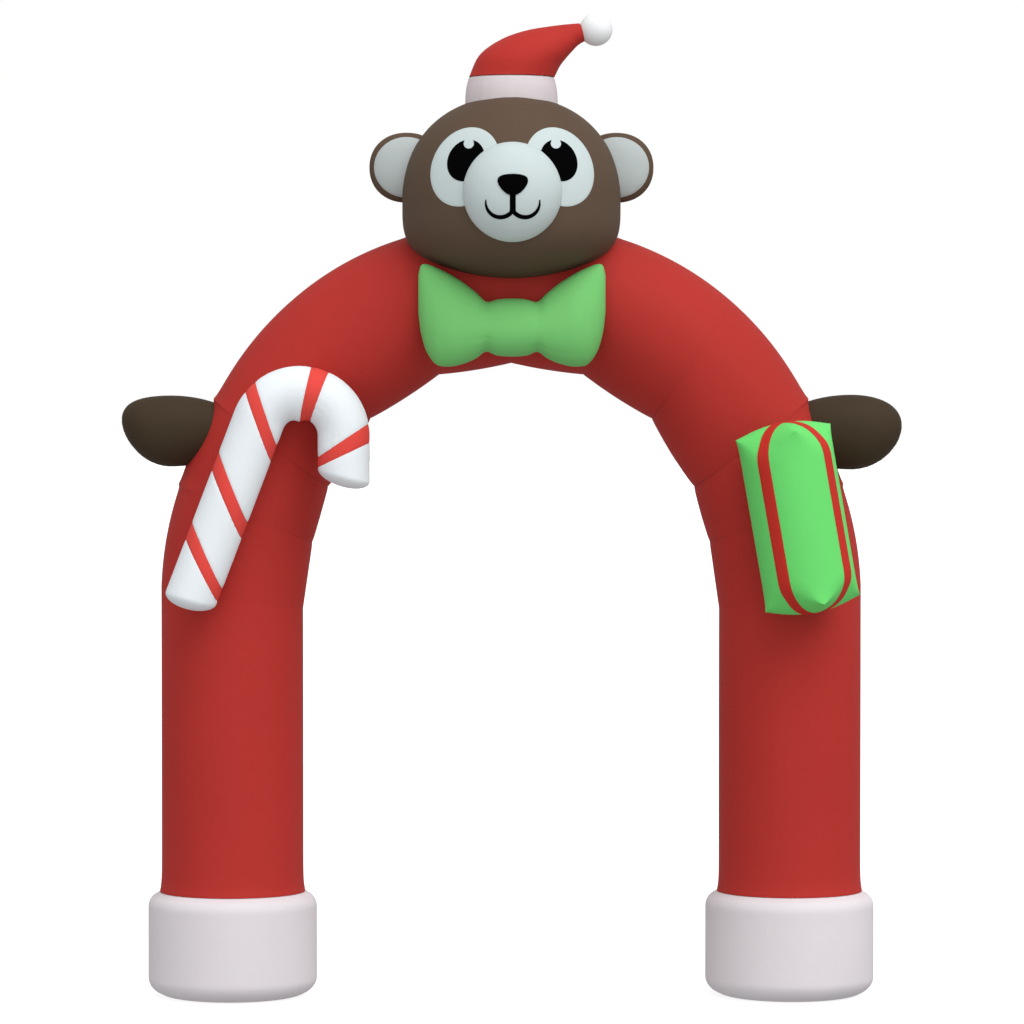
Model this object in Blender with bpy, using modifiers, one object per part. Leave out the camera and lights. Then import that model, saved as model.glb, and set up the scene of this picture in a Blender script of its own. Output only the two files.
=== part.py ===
"""Walk-through inflatable festive arch, built as the solids of its inflated fabric panels.

Metres, +Z up, the front faces -Y. "left" and "right" are those of someone who walks up to the front.
Heights and widths are measured from the middle of the arch at floor level. Depths are measured from
the plane that holds the tube's centre line, which the empty arch_plane carries.
"""

import math

import bmesh
import bpy
from mathutils import Matrix, Vector

GAP = 0.0003  # between pieces that are sewn together
SIDES = {"left": -1, "right": 1}

# Tube: straight legs, then gores that are joined at mitred seams
TUBE_RADIUS = 0.2167
LEG_X = 0.854
ARCH_CENTRE_Z = 1.304
TUBE_SIDES = 24
GORE_STEPS = 4
GORE_SWELL = (0.002, 0.006)  # how far the outer and the inner side of a gore stand out between its seams
SEAM_DEPTH = 0.985  # share of the tube's depth that is left at a seam
LEG_HEIGHTS = (1.05, 0.75, 0.45, 0.36)
LEG_FLARE = 0.007  # the leg widens a little where it is sewn to its foot

# Feet
FOOT_RADIUS = 0.258
FOOT_HEIGHT = 0.32
FOOT_ROUND_ABOVE = (0.046, 0.046)  # across and up
FOOT_ROUND_BELOW = (0.078, 0.056)
FOOT_SIDES = 28

# Seams: turn from the top of the arch in degrees and reach from its centre, on the inner and outer side
SEAM_COLUMNS = ("inner_turn", "inner_reach", "outer_turn", "outer_reach")
SEAMS = {
    "crown": (0.0, 0.634, 0.0, 1.069),
    "upper": (20.2, 0.638, 18.6, 1.067),
    "haunch": (42.8, 0.6325, 39.0, 1.063),
    "shoulder": (65.4, 0.615, 60.0, 1.044),
    "spring": (81.9, 0.6135, 75.3, 1.0455),
    "plumb": (100.4, 0.6475, 92.5, 1.0695),  # no seam: from here down the leg is upright
}

# Balls are rounded by two powers, of their height and of their width; 2 and 2 give an ellipse
ROUND = (2.0, 2.0)

# Head: a ball that is flatter below
HEAD_DEPTH_PLACE = -0.12
HEAD_Z = 2.416
HEAD_HALF_WIDTH = 0.331
HEAD_HALF_DEPTH = 0.33
HEAD_UP = 0.326
HEAD_DOWN = 0.236
HEAD_POWERS = (2.25, 2.25)
CHIN_POWERS = (3.6, 1.4)

MUZZLE_PLACE = (0.0, -0.42, 2.4435)
MUZZLE_HALF = (0.147, 0.112, 0.149)

EAR_PLACE = (0.318, -0.10, 2.5295)
EAR_HALF = (0.113, 0.05, 0.106)
EAR_POWERS = (2.15, 2.15)
EAR_PANEL_INSET = 0.015

# Face panels: thin cloth sewn over the ball beneath
PANEL_THICKNESS = 0.0017
EYE_PATCH = {"x": 0.1403, "z": 2.5196, "long": 0.123, "short": 0.098, "lean": 26.0}
PUPIL = {"x": 0.1371, "z": 2.5374, "long": 0.0643, "short": 0.0531, "lean": 27.0}
GLINT = {"x": 0.1285, "z": 2.588, "radius": 0.0155}
NOSE_Z = 2.470
NOSE_HALF_WIDTH = 0.0445
NOSE_UP = 0.0225
NOSE_DOWN = 0.0405
NOSE_TAPER = 0.24
NOSE_BROW_POWER = 0.6  # below one, so that the nose is nearly flat above
MOUTH_Z = 2.410
MOUTH_CENTRE = 0.036  # from the middle of the face to the middle of each curve
MOUTH_HALF = (0.0435, 0.044)
MOUTH_LINE = 0.0062
MOUTH_TIP = 0.0015
MOUTH_END_TURN = -190
STEM_HALF_WIDTH = 0.0088
STEM_TOP_Z = 2.4286

# Hat: a band that sits on the head, and a cone that bends to the right
BAND_TOP_Z = 2.803
BAND_BOTTOM_Z = 2.70
BAND_TOP_RADIUS = 0.131
BAND_RADIUS = 0.141
BAND_ROUND = 0.010
BAND_SIDES = 24
CONE_SIDES = 20
CONE_COLUMNS = ("left_x", "left_z", "right_x", "right_z")
CONE_ROWS = (
    (-0.1290, BAND_TOP_Z, 0.1310, BAND_TOP_Z),
    (-0.0980, 2.8678, 0.1465, 2.8352),
    (-0.0320, 2.9161, 0.1670, 2.8620),
    (0.0500, 2.9448, 0.1840, 2.8810),
    (0.1090, 2.9550, 0.1968, 2.8947),
    (0.1683, 2.9623, 0.2089, 2.9040),
    (0.2060, 2.9653, 0.2245, 2.9128),
)
POMPOM_RADIUS = 0.050
POMPOM_PLACE = (0.2558, HEAD_DEPTH_PLACE, 2.9469)

# Bow: one pillow, narrow at the knot; half of it, from the middle to the end of a wing
BOW_DEPTH_PLACE = -0.243
BOW_SIDES = 16
BOW_COLUMNS = ("x", "top_z", "bottom_z", "half_depth")
BOW_ROWS = (
    (0.000, 2.1310, 1.9563, 0.066),
    (0.042, 2.1285, 1.9590, 0.063),
    (0.074, 2.1216, 1.9668, 0.050),
    (0.105, 2.1470, 1.9510, 0.056),
    (0.147, 2.1794, 1.9340, 0.066),
    (0.190, 2.2060, 1.9260, 0.068),
    (0.225, 2.2220, 1.9330, 0.058),
    (0.252, 2.2315, 1.9650, 0.042),
    (0.270, 2.2270, 2.0220, 0.024),
    (0.280, 2.1960, 2.0850, 0.010),
)

# Arms: rounded stubs on the shoulders
ARM_PLACE = (1.040, -0.01, 1.7275)
ARM_HALF = (0.153, 0.105, 0.1125)
ARM_ROOT_SHARE = 1.5  # its half towards the shoulder is this much longer
ARM_TIP_LIFT = 0.024
ARM_POWERS = (2.15, 2.15)

# Candy cane in front of the left shoulder, measured along its centre line from its foot
CANE_FOOT = (-0.963, -0.28, 1.233)
CANE_RADIUS = 0.078
CANE_LEAN = 20.9
CANE_SHAFT = 0.570
CANE_HOOK_RADIUS = 0.1316
CANE_END = 0.117
CANE_END_SLANT = 0.020  # the outer side of the hook's end reaches further than its middle, the inner less
CANE_DOME = 0.038
CANE_SIDES = 18
CANE_STEP = 0.075
DOME_TURNS = (25, 50, 72)
SEAM_SEARCH = 0.02
SEAM_SEARCH_STEPS = 30
STRIPE_COLUMNS = ("outer_start", "outer_end", "inner_start", "inner_end")
STRIPE_ROWS = (
    (0.158, 0.212, 0.018, 0.060),
    (0.379, 0.437, 0.221, 0.273),
    (0.611, 0.638, 0.469, 0.520),
    (0.751, 0.785, 0.732, 0.810),
    (0.913, 0.957, 0.999, 1.029),
)

# Gift box in front of the right shoulder, corner towards the front
GIFT_PLACE = (0.856, -0.325, 1.4733)
GIFT_HALF_SIDE = 0.1045
GIFT_HALF_HEIGHT = 0.261
GIFT_YAW = -35.5
GIFT_LEAN = -9.9
GIFT_GIRTH = 0.140  # radius at mid height
GIFT_TOP = 0.2890  # the middle of each end, from the middle of the box
GIFT_SEAM = (0.118, 0.2337)  # reach and height of the end seams at their middles
GIFT_SHOULDER = 0.064  # the sides draw in over this much height below the end seams
GIFT_DOME = 0.8  # an end falls off this much as a dome, and the rest as a flat cap with a round rim
GIFT_CAP_POWER = 5
GIFT_PINCH = 0.006  # how far the corners stand out
GIFT_CUTS = 7
GIFT_CROWDING = 1.6  # rows of points crowd towards the ends
RIBBON_HALF_WIDTH = 0.0195

# The plane of the arch stands behind the middle of the depth, because the face reaches far forward
NOSE_REACH = MUZZLE_HALF[1] - MUZZLE_PLACE[1] + GAP + PANEL_THICKNESS
ARCH_PLANE_Y = (NOSE_REACH - FOOT_RADIUS) / 2

FINISHES = {  # colour in 8-bit sRGB; every panel is the same matt polyester
    "tube_red": (182, 52, 46),
    "foot_white": (224, 218, 222),
    "fur_brown": (104, 87, 73),
    "arm_brown": (76, 63, 49),
    "face_white": (214, 226, 228),
    "ear_white": (196, 203, 202),
    "face_black": (8, 8, 9),
    "hat_red": (198, 54, 48),
    "band_white": (224, 214, 218),
    "bow_green": (118, 200, 116),
    "cane_white": (246, 249, 249),
    "cane_red": (238, 80, 72),
    "gift_green": (108, 218, 112),
    "ribbon_red": (196, 50, 40),
}
ROUGHNESS = 0.6
SRGB_STEP = 0.04045


def linear(value):
    share = value / 255
    return share / 12.92 if share <= SRGB_STEP else ((share + 0.055) / 1.055) ** 2.4


def finish(name):
    if name in bpy.data.materials:
        return bpy.data.materials[name]
    made = bpy.data.materials.new(name)
    made.use_nodes = True
    shader = made.node_tree.nodes["Principled BSDF"]
    shader.inputs["Base Color"].default_value = (*map(linear, FINISHES[name]), 1)
    shader.inputs["Roughness"].default_value = ROUGHNESS
    shader.inputs["Metallic"].default_value = 0
    return made


def clear_scene():
    for obj in list(bpy.data.objects):
        bpy.data.objects.remove(obj, do_unlink=True)


def new_collection(name):
    made = bpy.data.collections.new(name)
    bpy.context.scene.collection.children.link(made)
    return made


clear_scene()
PARTS = new_collection("inflatable_arch")
CUTTERS = new_collection("cutters")
PLANE = bpy.data.objects.new("arch_plane", None)
PLANE.location.y = ARCH_PLANE_Y
PARTS.objects.link(PLANE)


def mesh_of(body):
    """The mesh of a bmesh in triangles, so that a copy bends the same way, with its faces out and smooth."""
    bmesh.ops.triangulate(body, faces=body.faces)
    bmesh.ops.recalc_face_normals(body, faces=body.faces)
    mesh = bpy.data.meshes.new("shape")
    body.to_mesh(mesh)
    body.free()
    mesh.shade_smooth()
    return mesh


def part(name, mesh, colour):
    made = bpy.data.objects.new(name, mesh)
    made.parent = PLANE
    mesh.materials.append(finish(colour))
    PARTS.objects.link(made)
    return made


def cutter(name, mesh):
    made = bpy.data.objects.new("cut_" + name, mesh)
    made.parent = PLANE
    made.hide_render = True
    made.display_type = "WIRE"
    CUTTERS.objects.link(made)
    return made


def boolean(piece, operation, tool):
    step = piece.modifiers.new(tool.name, "BOOLEAN")
    step.operation = operation
    step.solver = "EXACT"
    step.object = tool


def swollen(mesh, lift):
    """A copy of the mesh with every face moved out by lift."""
    body = bmesh.new()
    body.from_mesh(mesh)
    moves = [vert.normal * lift * vert.calc_shell_factor() for vert in body.verts]
    for vert, move in zip(body.verts, moves):
        vert.co += move
    return mesh_of(body)


SEATS = {}


def seat(piece, *carriers):
    """Hollows the piece where its carriers are, so that it lies against them with the sewing gap."""
    for carrier in carriers:
        if carrier.name not in SEATS:
            SEATS[carrier.name] = cutter("seat_" + carrier.name, swollen(carrier.data, GAP))
            SEATS[carrier.name].matrix_basis = carrier.matrix_basis
        boolean(piece, "DIFFERENCE", SEATS[carrier.name])


def loft(rings):
    """A closed body through rings of equally many points, each end closed by strips across it."""
    body = bmesh.new()
    rows = [[body.verts.new(point) for point in ring] for ring in rings]
    count = len(rows[0])
    for near, far in zip(rows, rows[1:]):
        for j in range(count):
            k = (j + 1) % count
            body.faces.new((near[j], near[k], far[k], far[j]))
    for end in (rows[0], rows[-1]):
        for j in range(count // 2):
            corners = (end[j], end[j + 1], end[(-j - 1) % count], end[-j % count])
            body.faces.new(dict.fromkeys(corners))  # the first and last strips are triangles
    return mesh_of(body)


def oval(first, last, half_depth, sides):
    """Points around an oval that spans from first to last, both in the plane of the arch."""
    middle = (first + last) / 2
    reach = (first - last) / 2
    turns = [2 * math.pi * j / sides for j in range(sides)]
    return [middle + reach * math.cos(t) + Vector((0, half_depth * math.sin(t), 0)) for t in turns]


def signed_power(value, power):
    return math.copysign(abs(value) ** power, value)


def ball(half, segments, rings, powers=ROUND, down=None, down_powers=None, shift=0.0):
    """A ball with its own half sizes along X, Y and Z; down is its reach below the middle.

    shift turns its columns of faces by that share of a column.
    """
    body = bmesh.new()
    turn = Matrix.Rotation(2 * math.pi * shift / segments, 4, "Z")
    bmesh.ops.create_uvsphere(body, u_segments=segments, v_segments=rings, radius=1, matrix=turn)
    for vert in body.verts:
        x, y, z = vert.co
        below = down and z < 0
        upright, level = down_powers if below else powers
        across = math.hypot(x, y)
        wider = across ** (2 / level) / across if across > GAP else 1
        height = signed_power(z, 2 / upright)
        vert.co = (x * wider * half[0], y * wider * half[1], height * (down if below else half[2]))
    return mesh_of(body)


def turned(profile, steps):
    """The closed body that a profile of (radius, height), from its top to its bottom, sweeps round Z."""
    line = bpy.data.meshes.new("profile")
    points = [(radius, 0, height) for radius, height in profile]
    line.from_pydata(points, [(i, i + 1) for i in range(len(points) - 1)], [])
    holder = bpy.data.objects.new("profile", line)
    CUTTERS.objects.link(holder)
    screw = holder.modifiers.new("turn", "SCREW")
    screw.steps = steps
    screw.render_steps = steps
    screw.use_merge_vertices = True
    screw.merge_threshold = 0.0001
    graph = bpy.context.evaluated_depsgraph_get()
    mesh = bpy.data.meshes.new_from_object(holder.evaluated_get(graph))
    bpy.data.objects.remove(holder)
    body = bmesh.new()
    body.from_mesh(mesh)
    return mesh_of(body)


def arc(centre, half, start, end, steps):
    """Points of an arc of an ellipse, with its turns in degrees."""
    turns = [math.radians(start + (end - start) * i / steps) for i in range(steps + 1)]
    return [(centre[0] + half[0] * math.cos(t), centre[1] + half[1] * math.sin(t)) for t in turns]


def prism(outline, axis="Y", reach=1.0):
    """The outline, given in X and Z or in X and Y, drawn out by reach along Y, or both ways along Z."""
    body = bmesh.new()
    if axis == "Y":
        points = [(a, 0, b) for a, b in outline]
        travel = Vector((0, reach, 0))
    else:
        points = [(a, b, -reach) for a, b in outline]
        travel = Vector((0, 0, 2 * reach))
    face = body.faces.new([body.verts.new(point) for point in points])
    drawn = bmesh.ops.extrude_face_region(body, geom=[face])["geom"]
    bmesh.ops.translate(body, vec=travel, verts=[v for v in drawn if isinstance(v, bmesh.types.BMVert)])
    return mesh_of(body)


def sewn_panel(name, outline_mesh, place, carrier, colour, layers=0, beside=()):
    """Thin cloth over the carrier's surface, inside the outline and clear of the solids beside it.

    layers is how many panels lie below it.
    """
    made = part(name, outline_mesh, colour)
    made.location = place
    seat(made, *beside)
    lift = GAP + layers * (GAP + PANEL_THICKNESS)
    above = cutter(name + "_above", swollen(carrier.data, lift + PANEL_THICKNESS))
    below = cutter(name + "_below", swollen(carrier.data, lift))
    for tool, operation in ((above, "INTERSECT"), (below, "DIFFERENCE")):
        tool.matrix_basis = carrier.matrix_basis
        boolean(made, operation, tool)
    return made


# Tube and feet


def seam_point(turn, reach, side):
    angle = math.radians(turn)
    return Vector((side * reach * math.sin(angle), 0, ARCH_CENTRE_Z + reach * math.cos(angle)))


def seam_row(name):
    return dict(zip(SEAM_COLUMNS, SEAMS[name]))


def gore_rings(above, below, side, most_swell):
    """Rings from one seam to the next: the outer side follows the arch, the inner side is nearly straight.

    most_swell is how far its outer and its inner side stand out halfway.
    """
    first, last = seam_row(above), seam_row(below)
    start = seam_point(first["inner_turn"], first["inner_reach"], side)
    end = seam_point(last["inner_turn"], last["inner_reach"], side)
    rings = []
    for i in range(GORE_STEPS + 1):
        t = i / GORE_STEPS
        swell = math.sin(math.pi * t)
        turn = first["outer_turn"] + (last["outer_turn"] - first["outer_turn"]) * t
        reach = first["outer_reach"] + (last["outer_reach"] - first["outer_reach"]) * t
        outer = seam_point(turn, reach, side)
        inner = start.lerp(end, t)
        across = (outer - inner).normalized() * swell
        half_depth = TUBE_RADIUS * (SEAM_DEPTH + (1 - SEAM_DEPTH) * swell)
        ends = (outer + across * most_swell[0], inner - across * most_swell[1])
        rings.append(oval(*ends, half_depth, TUBE_SIDES))
    return rings


def draw_back(ring, towards):
    """The ring moved half a sewing gap towards its neighbour."""
    return [point + (far - point).normalized() * GAP / 2 for point, far in zip(ring, towards)]


def make_gore(name, above, below, side):
    rings = gore_rings(above, below, side, GORE_SWELL)
    rings[0] = draw_back(rings[0], rings[1])
    rings[-1] = draw_back(rings[-1], rings[-2])
    return part(name, loft(rings), "tube_red")


def make_leg(name, side):
    rings = gore_rings("spring", "plumb", side, (0, 0))
    rings[0] = draw_back(rings[0], rings[1])
    middle = Vector((side * LEG_X, 0, 0))
    across = Vector((side, 0, 0))
    foot_seam = FOOT_HEIGHT + GAP
    for height in (*LEG_HEIGHTS, foot_seam):
        radius = TUBE_RADIUS + (LEG_FLARE if height == foot_seam else 0)
        level = middle + Vector((0, 0, height))
        rings.append(oval(level + across * radius, level - across * radius, radius, TUBE_SIDES))
    return part(name, loft(rings), "tube_red")


def make_foot(name, side):
    across, up = FOOT_ROUND_ABOVE
    top = arc((FOOT_RADIUS - across, FOOT_HEIGHT - up), FOOT_ROUND_ABOVE, 90, 0, 3)
    across, up = FOOT_ROUND_BELOW
    bottom = arc((FOOT_RADIUS - across, up), FOOT_ROUND_BELOW, 0, -90, 4)
    foot = part(name, turned([(0, FOOT_HEIGHT), *top, *bottom, (0, 0)], FOOT_SIDES), "foot_white")
    foot.location = (side * LEG_X, 0, 0)
    return foot


GORES = {}
LEGS = {}
for word, sign in SIDES.items():
    make_foot("foot_" + word, sign)
    LEGS[word] = make_leg("leg_" + word, sign)
    names = list(SEAMS)
    for number in range(4):
        label = f"arch_{word}_{number + 1}"
        GORES[word, number] = make_gore(label, names[number], names[number + 1], sign)
CROWN = [GORES[word, number] for word in SIDES for number in (0, 1)]


# Head, ears and face


HEAD_HALF = (HEAD_HALF_WIDTH, HEAD_HALF_DEPTH, HEAD_UP)
HEAD = part("head", ball(HEAD_HALF, 28, 18, HEAD_POWERS, HEAD_DOWN, CHIN_POWERS), "fur_brown")
HEAD.location = (0, HEAD_DEPTH_PLACE, HEAD_Z)
seat(HEAD, *CROWN)

MUZZLE = part("muzzle", ball(MUZZLE_HALF, 22, 13, shift=0.5), "face_white")
MUZZLE.location = MUZZLE_PLACE
seat(MUZZLE, HEAD)

FACE_FRONT = MUZZLE_PLACE[1] - 2 * MUZZLE_HALF[1]
FACE_BACK = HEAD_DEPTH_PLACE - FACE_FRONT


def leaning_oval(row, side, steps=28):
    """An ellipse whose long axis leans towards the middle of the face at its top."""
    lean = math.radians(-side * row["lean"])
    points = []
    for a, b in arc((0, 0), (row["short"], row["long"]), 0, 360, steps)[:-1]:
        x = a * math.cos(lean) + b * math.sin(lean)
        z = b * math.cos(lean) - a * math.sin(lean)
        points.append((side * row["x"] + x, row["z"] + z))
    return points


def make_ear(word, side):
    ear = part("ear_" + word, ball(EAR_HALF, 20, 11, EAR_POWERS), "fur_brown")
    ear.location = (side * EAR_PLACE[0], *EAR_PLACE[1:])
    inset = [EAR_HALF[0] - EAR_PANEL_INSET, EAR_HALF[2] - EAR_PANEL_INSET]
    outline = arc((0, 0), inset, 0, 360, 24)[:-1]
    front = (side * EAR_PLACE[0], EAR_PLACE[1] - 2 * EAR_HALF[1], EAR_PLACE[2])
    disc = prism(outline, reach=2 * EAR_HALF[1])
    sewn_panel("ear_panel_" + word, disc, front, ear, "ear_white", beside=[HEAD])
    seat(ear, HEAD)


def make_eye(word, side):
    at = (0, FACE_FRONT, 0)
    patch = prism(leaning_oval(EYE_PATCH, side), reach=FACE_BACK)
    sewn_panel("eye_patch_" + word, patch, at, HEAD, "face_white", beside=[MUZZLE])
    pupil = prism(leaning_oval(PUPIL, side, 20), reach=FACE_BACK)
    pupil = sewn_panel("pupil_" + word, pupil, at, HEAD, "face_black", layers=1, beside=[MUZZLE])
    glint = arc((side * GLINT["x"], GLINT["z"]), (GLINT["radius"], GLINT["radius"]), 0, 360, 12)[:-1]
    notch = cutter("glint_" + word, prism(glint, reach=FACE_BACK))
    notch.location = at
    boolean(pupil, "DIFFERENCE", notch)


def nose_outline():
    """A rounded triangle, flat above and pointed below."""
    points = []
    for a, b in arc((0, 0), (1, 1), 0, 360, 20)[:-1]:
        height = NOSE_UP * b**NOSE_BROW_POWER if b > 0 else NOSE_DOWN * b
        points.append((NOSE_HALF_WIDTH * a * (1 + NOSE_TAPER * min(b, 0)), NOSE_Z + height))
    return points


def mouth_outline():
    """Two curves that end in fine tips and meet a stem below the nose."""
    low = math.degrees(-math.acos(MOUTH_CENTRE / (MOUTH_HALF[0] + MOUTH_LINE)))
    high = math.degrees(-math.acos((MOUTH_CENTRE - STEM_HALF_WIDTH) / (MOUTH_HALF[0] - MOUTH_LINE)))

    def edge(start, offset, steps=9):
        points = []
        for i in range(steps + 1):
            t = i / steps
            width = math.copysign(MOUTH_LINE + (MOUTH_TIP - MOUTH_LINE) * t**3, offset)
            turn = math.radians(start + (MOUTH_END_TURN - start) * t)
            x = -MOUTH_CENTRE + (MOUTH_HALF[0] + width) * math.cos(turn)
            points.append((x, MOUTH_Z + (MOUTH_HALF[1] + width) * math.sin(turn)))
        return points

    half = [*edge(low, 1), *reversed(edge(high, -1)), (-STEM_HALF_WIDTH, STEM_TOP_Z)]
    other = [(-x, z) for x, z in reversed(half)]
    return [*half, *other[:-1]]


def make_nose_and_mouth():
    at = (0, FACE_FRONT, 0)
    reach = MUZZLE_PLACE[1] - FACE_FRONT
    sewn_panel("nose", prism(nose_outline(), reach=reach), at, MUZZLE, "face_black")
    sewn_panel("mouth", prism(mouth_outline(), reach=reach), at, MUZZLE, "face_black")


for word, sign in SIDES.items():
    make_ear(word, sign)
    make_eye(word, sign)
make_nose_and_mouth()


# Hat


def make_hat():
    top = arc((BAND_TOP_RADIUS - BAND_ROUND, BAND_TOP_Z - BAND_ROUND), (BAND_ROUND, BAND_ROUND), 90, 20, 2)
    side = [(BAND_RADIUS, (BAND_TOP_Z + BAND_BOTTOM_Z) / 2), (BAND_RADIUS, BAND_BOTTOM_Z)]
    profile = [(0, BAND_TOP_Z), *top, *side, (0, BAND_BOTTOM_Z)]
    band = part("hat_band", turned(profile, BAND_SIDES), "band_white")
    band.location.y = HEAD_DEPTH_PLACE
    seat(band, HEAD)
    rings = []
    for row in CONE_ROWS:
        at = dict(zip(CONE_COLUMNS, row))
        left = Vector((at["left_x"], 0, at["left_z"]))
        right = Vector((at["right_x"], 0, at["right_z"]))
        rings.append(oval(left, right, (left - right).length / 2, CONE_SIDES))
    rings[0] = [point + Vector((0, 0, GAP)) for point in rings[0]]
    cone = part("hat_cone", loft(rings), "hat_red")
    cone.location.y = HEAD_DEPTH_PLACE
    pompom = part("hat_pompom", ball([POMPOM_RADIUS] * 3, 18, 10), "band_white")
    pompom.location = POMPOM_PLACE
    seat(pompom, cone)


make_hat()


# Bow tie and arms


def make_bow():
    half = [dict(zip(BOW_COLUMNS, row)) for row in BOW_ROWS]
    rings = []
    for side, rows in ((-1, half[::-1]), (1, half[1:])):
        for row in rows:
            top = Vector((side * row["x"], 0, row["top_z"]))
            bottom = Vector((side * row["x"], 0, row["bottom_z"]))
            rings.append(oval(top, bottom, row["half_depth"], BOW_SIDES))
    bow = part("bow_tie", loft(rings), "bow_green")
    bow.location.y = BOW_DEPTH_PLACE
    seat(bow, *CROWN)


def make_arm(word, side):
    shape = ball(ARM_HALF, 18, 11, ARM_POWERS)
    for vert in shape.vertices:
        out = side * vert.co.x
        if out < 0:
            vert.co.x *= ARM_ROOT_SHARE
        else:
            vert.co.z += ARM_TIP_LIFT * (out / ARM_HALF[0]) ** 2
    arm = part("arm_" + word, shape, "arm_brown")
    arm.location = (side * ARM_PLACE[0], *ARM_PLACE[1:])
    seat(arm, GORES[word, 2], GORES[word, 3])


make_bow()
for word, sign in SIDES.items():
    make_arm(word, sign)


# Candy cane


def cane_line(station):
    """The centre line's point and its direction to the outer side of the hook, at a distance along it."""
    lean = math.radians(CANE_LEAN)
    foot = Vector(CANE_FOOT)
    along = Vector((math.sin(lean), 0, math.cos(lean)))
    outward = Vector((-math.cos(lean), 0, math.sin(lean)))
    if station <= CANE_SHAFT:
        return foot + along * station, outward
    hub = foot + along * CANE_SHAFT - outward * CANE_HOOK_RADIUS
    turn = min((station - CANE_SHAFT) / CANE_HOOK_RADIUS, math.pi - lean)
    outward = Matrix.Rotation(turn, 3, "Y") @ outward
    rest = station - CANE_SHAFT - turn * CANE_HOOK_RADIUS
    return hub + outward * CANE_HOOK_RADIUS + Vector((0, 0, -rest)), outward


CANE_LENGTH = CANE_SHAFT + CANE_HOOK_RADIUS * (math.pi - math.radians(CANE_LEAN)) + CANE_END
CANE_TIP = (CANE_LENGTH + CANE_END_SLANT, CANE_LENGTH - CANE_END_SLANT)


def cane_point(station, across, radius=CANE_RADIUS):
    middle, outward = cane_line(station)
    return middle + outward * radius * across


def seam_station(outer, inner, across):
    """How far along the cane a straight seam lies, at a share of the radius to the outer side.

    The seam runs from one distance on the outer side to another on the inner side.
    """
    start = cane_point(inner, -1)
    run = cane_point(outer, 1) - start

    def beyond(station):
        return (cane_point(station, across) - start).cross(run).y > 0

    low, high = min(outer, inner) - SEAM_SEARCH, max(outer, inner) + SEAM_SEARCH
    low_side = beyond(low)
    for _ in range(SEAM_SEARCH_STEPS):
        middle = (low + high) / 2
        if beyond(middle) == low_side:
            low = middle
        else:
            high = middle
    return (low + high) / 2


def cane_ring(outer, inner, radius=CANE_RADIUS):
    """A ring whose outer side lies at one distance along the cane and its inner side at another."""
    points = []
    for j in range(CANE_SIDES):
        turn = 2 * math.pi * j / CANE_SIDES
        across = math.cos(turn)
        middle = cane_point(seam_station(outer, inner, across), across, radius)
        points.append(middle + Vector((0, radius * math.sin(turn), 0)))
    return points


def dome_rings(outer, inner, direction):
    rings = []
    for turn in map(math.radians, DOME_TURNS):
        step = direction * CANE_DOME * math.sin(turn)
        share = math.cos(turn)
        middle = (outer + inner) / 2
        slant = (outer - inner) / 2 * share
        rings.append(cane_ring(middle + slant + step, middle - slant + step, CANE_RADIUS * share))
    return rings


def make_cane_panel(name, start, end, colour):
    """A panel between two slanted seams, each given as its outer and inner distance along the cane."""
    rings = [] if start[0] > 0 else dome_rings(0, 0, -1)[::-1]
    begin = [at + (GAP if start[0] > 0 else 0) for at in start]
    finish_at = [at - (GAP if end != CANE_TIP else 0) for at in end]
    steps = max(1, math.ceil(max(end[0] - start[0], end[1] - start[1]) / CANE_STEP))
    for i in range(steps + 1):
        outer, inner = (a + (b - a) * i / steps for a, b in zip(begin, finish_at))
        rings.append(cane_ring(outer, inner))
    if end == CANE_TIP:
        rings.extend(dome_rings(*CANE_TIP, 1))
    panel = part(name, loft(rings), colour)
    seat(panel, *(GORES["left", number] for number in (1, 2, 3)), LEGS["left"])


def make_cane():
    reached = (0, 0)
    for number, row in enumerate(STRIPE_ROWS, 1):
        at = dict(zip(STRIPE_COLUMNS, row))
        start = (at["outer_start"], at["inner_start"])
        end = (at["outer_end"], at["inner_end"])
        make_cane_panel(f"cane_white_{number}", reached, start, "cane_white")
        make_cane_panel(f"cane_stripe_{number}", start, end, "cane_red")
        reached = end
    make_cane_panel(f"cane_white_{number + 1}", reached, CANE_TIP, "cane_white")


make_cane()


# Gift box


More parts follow.
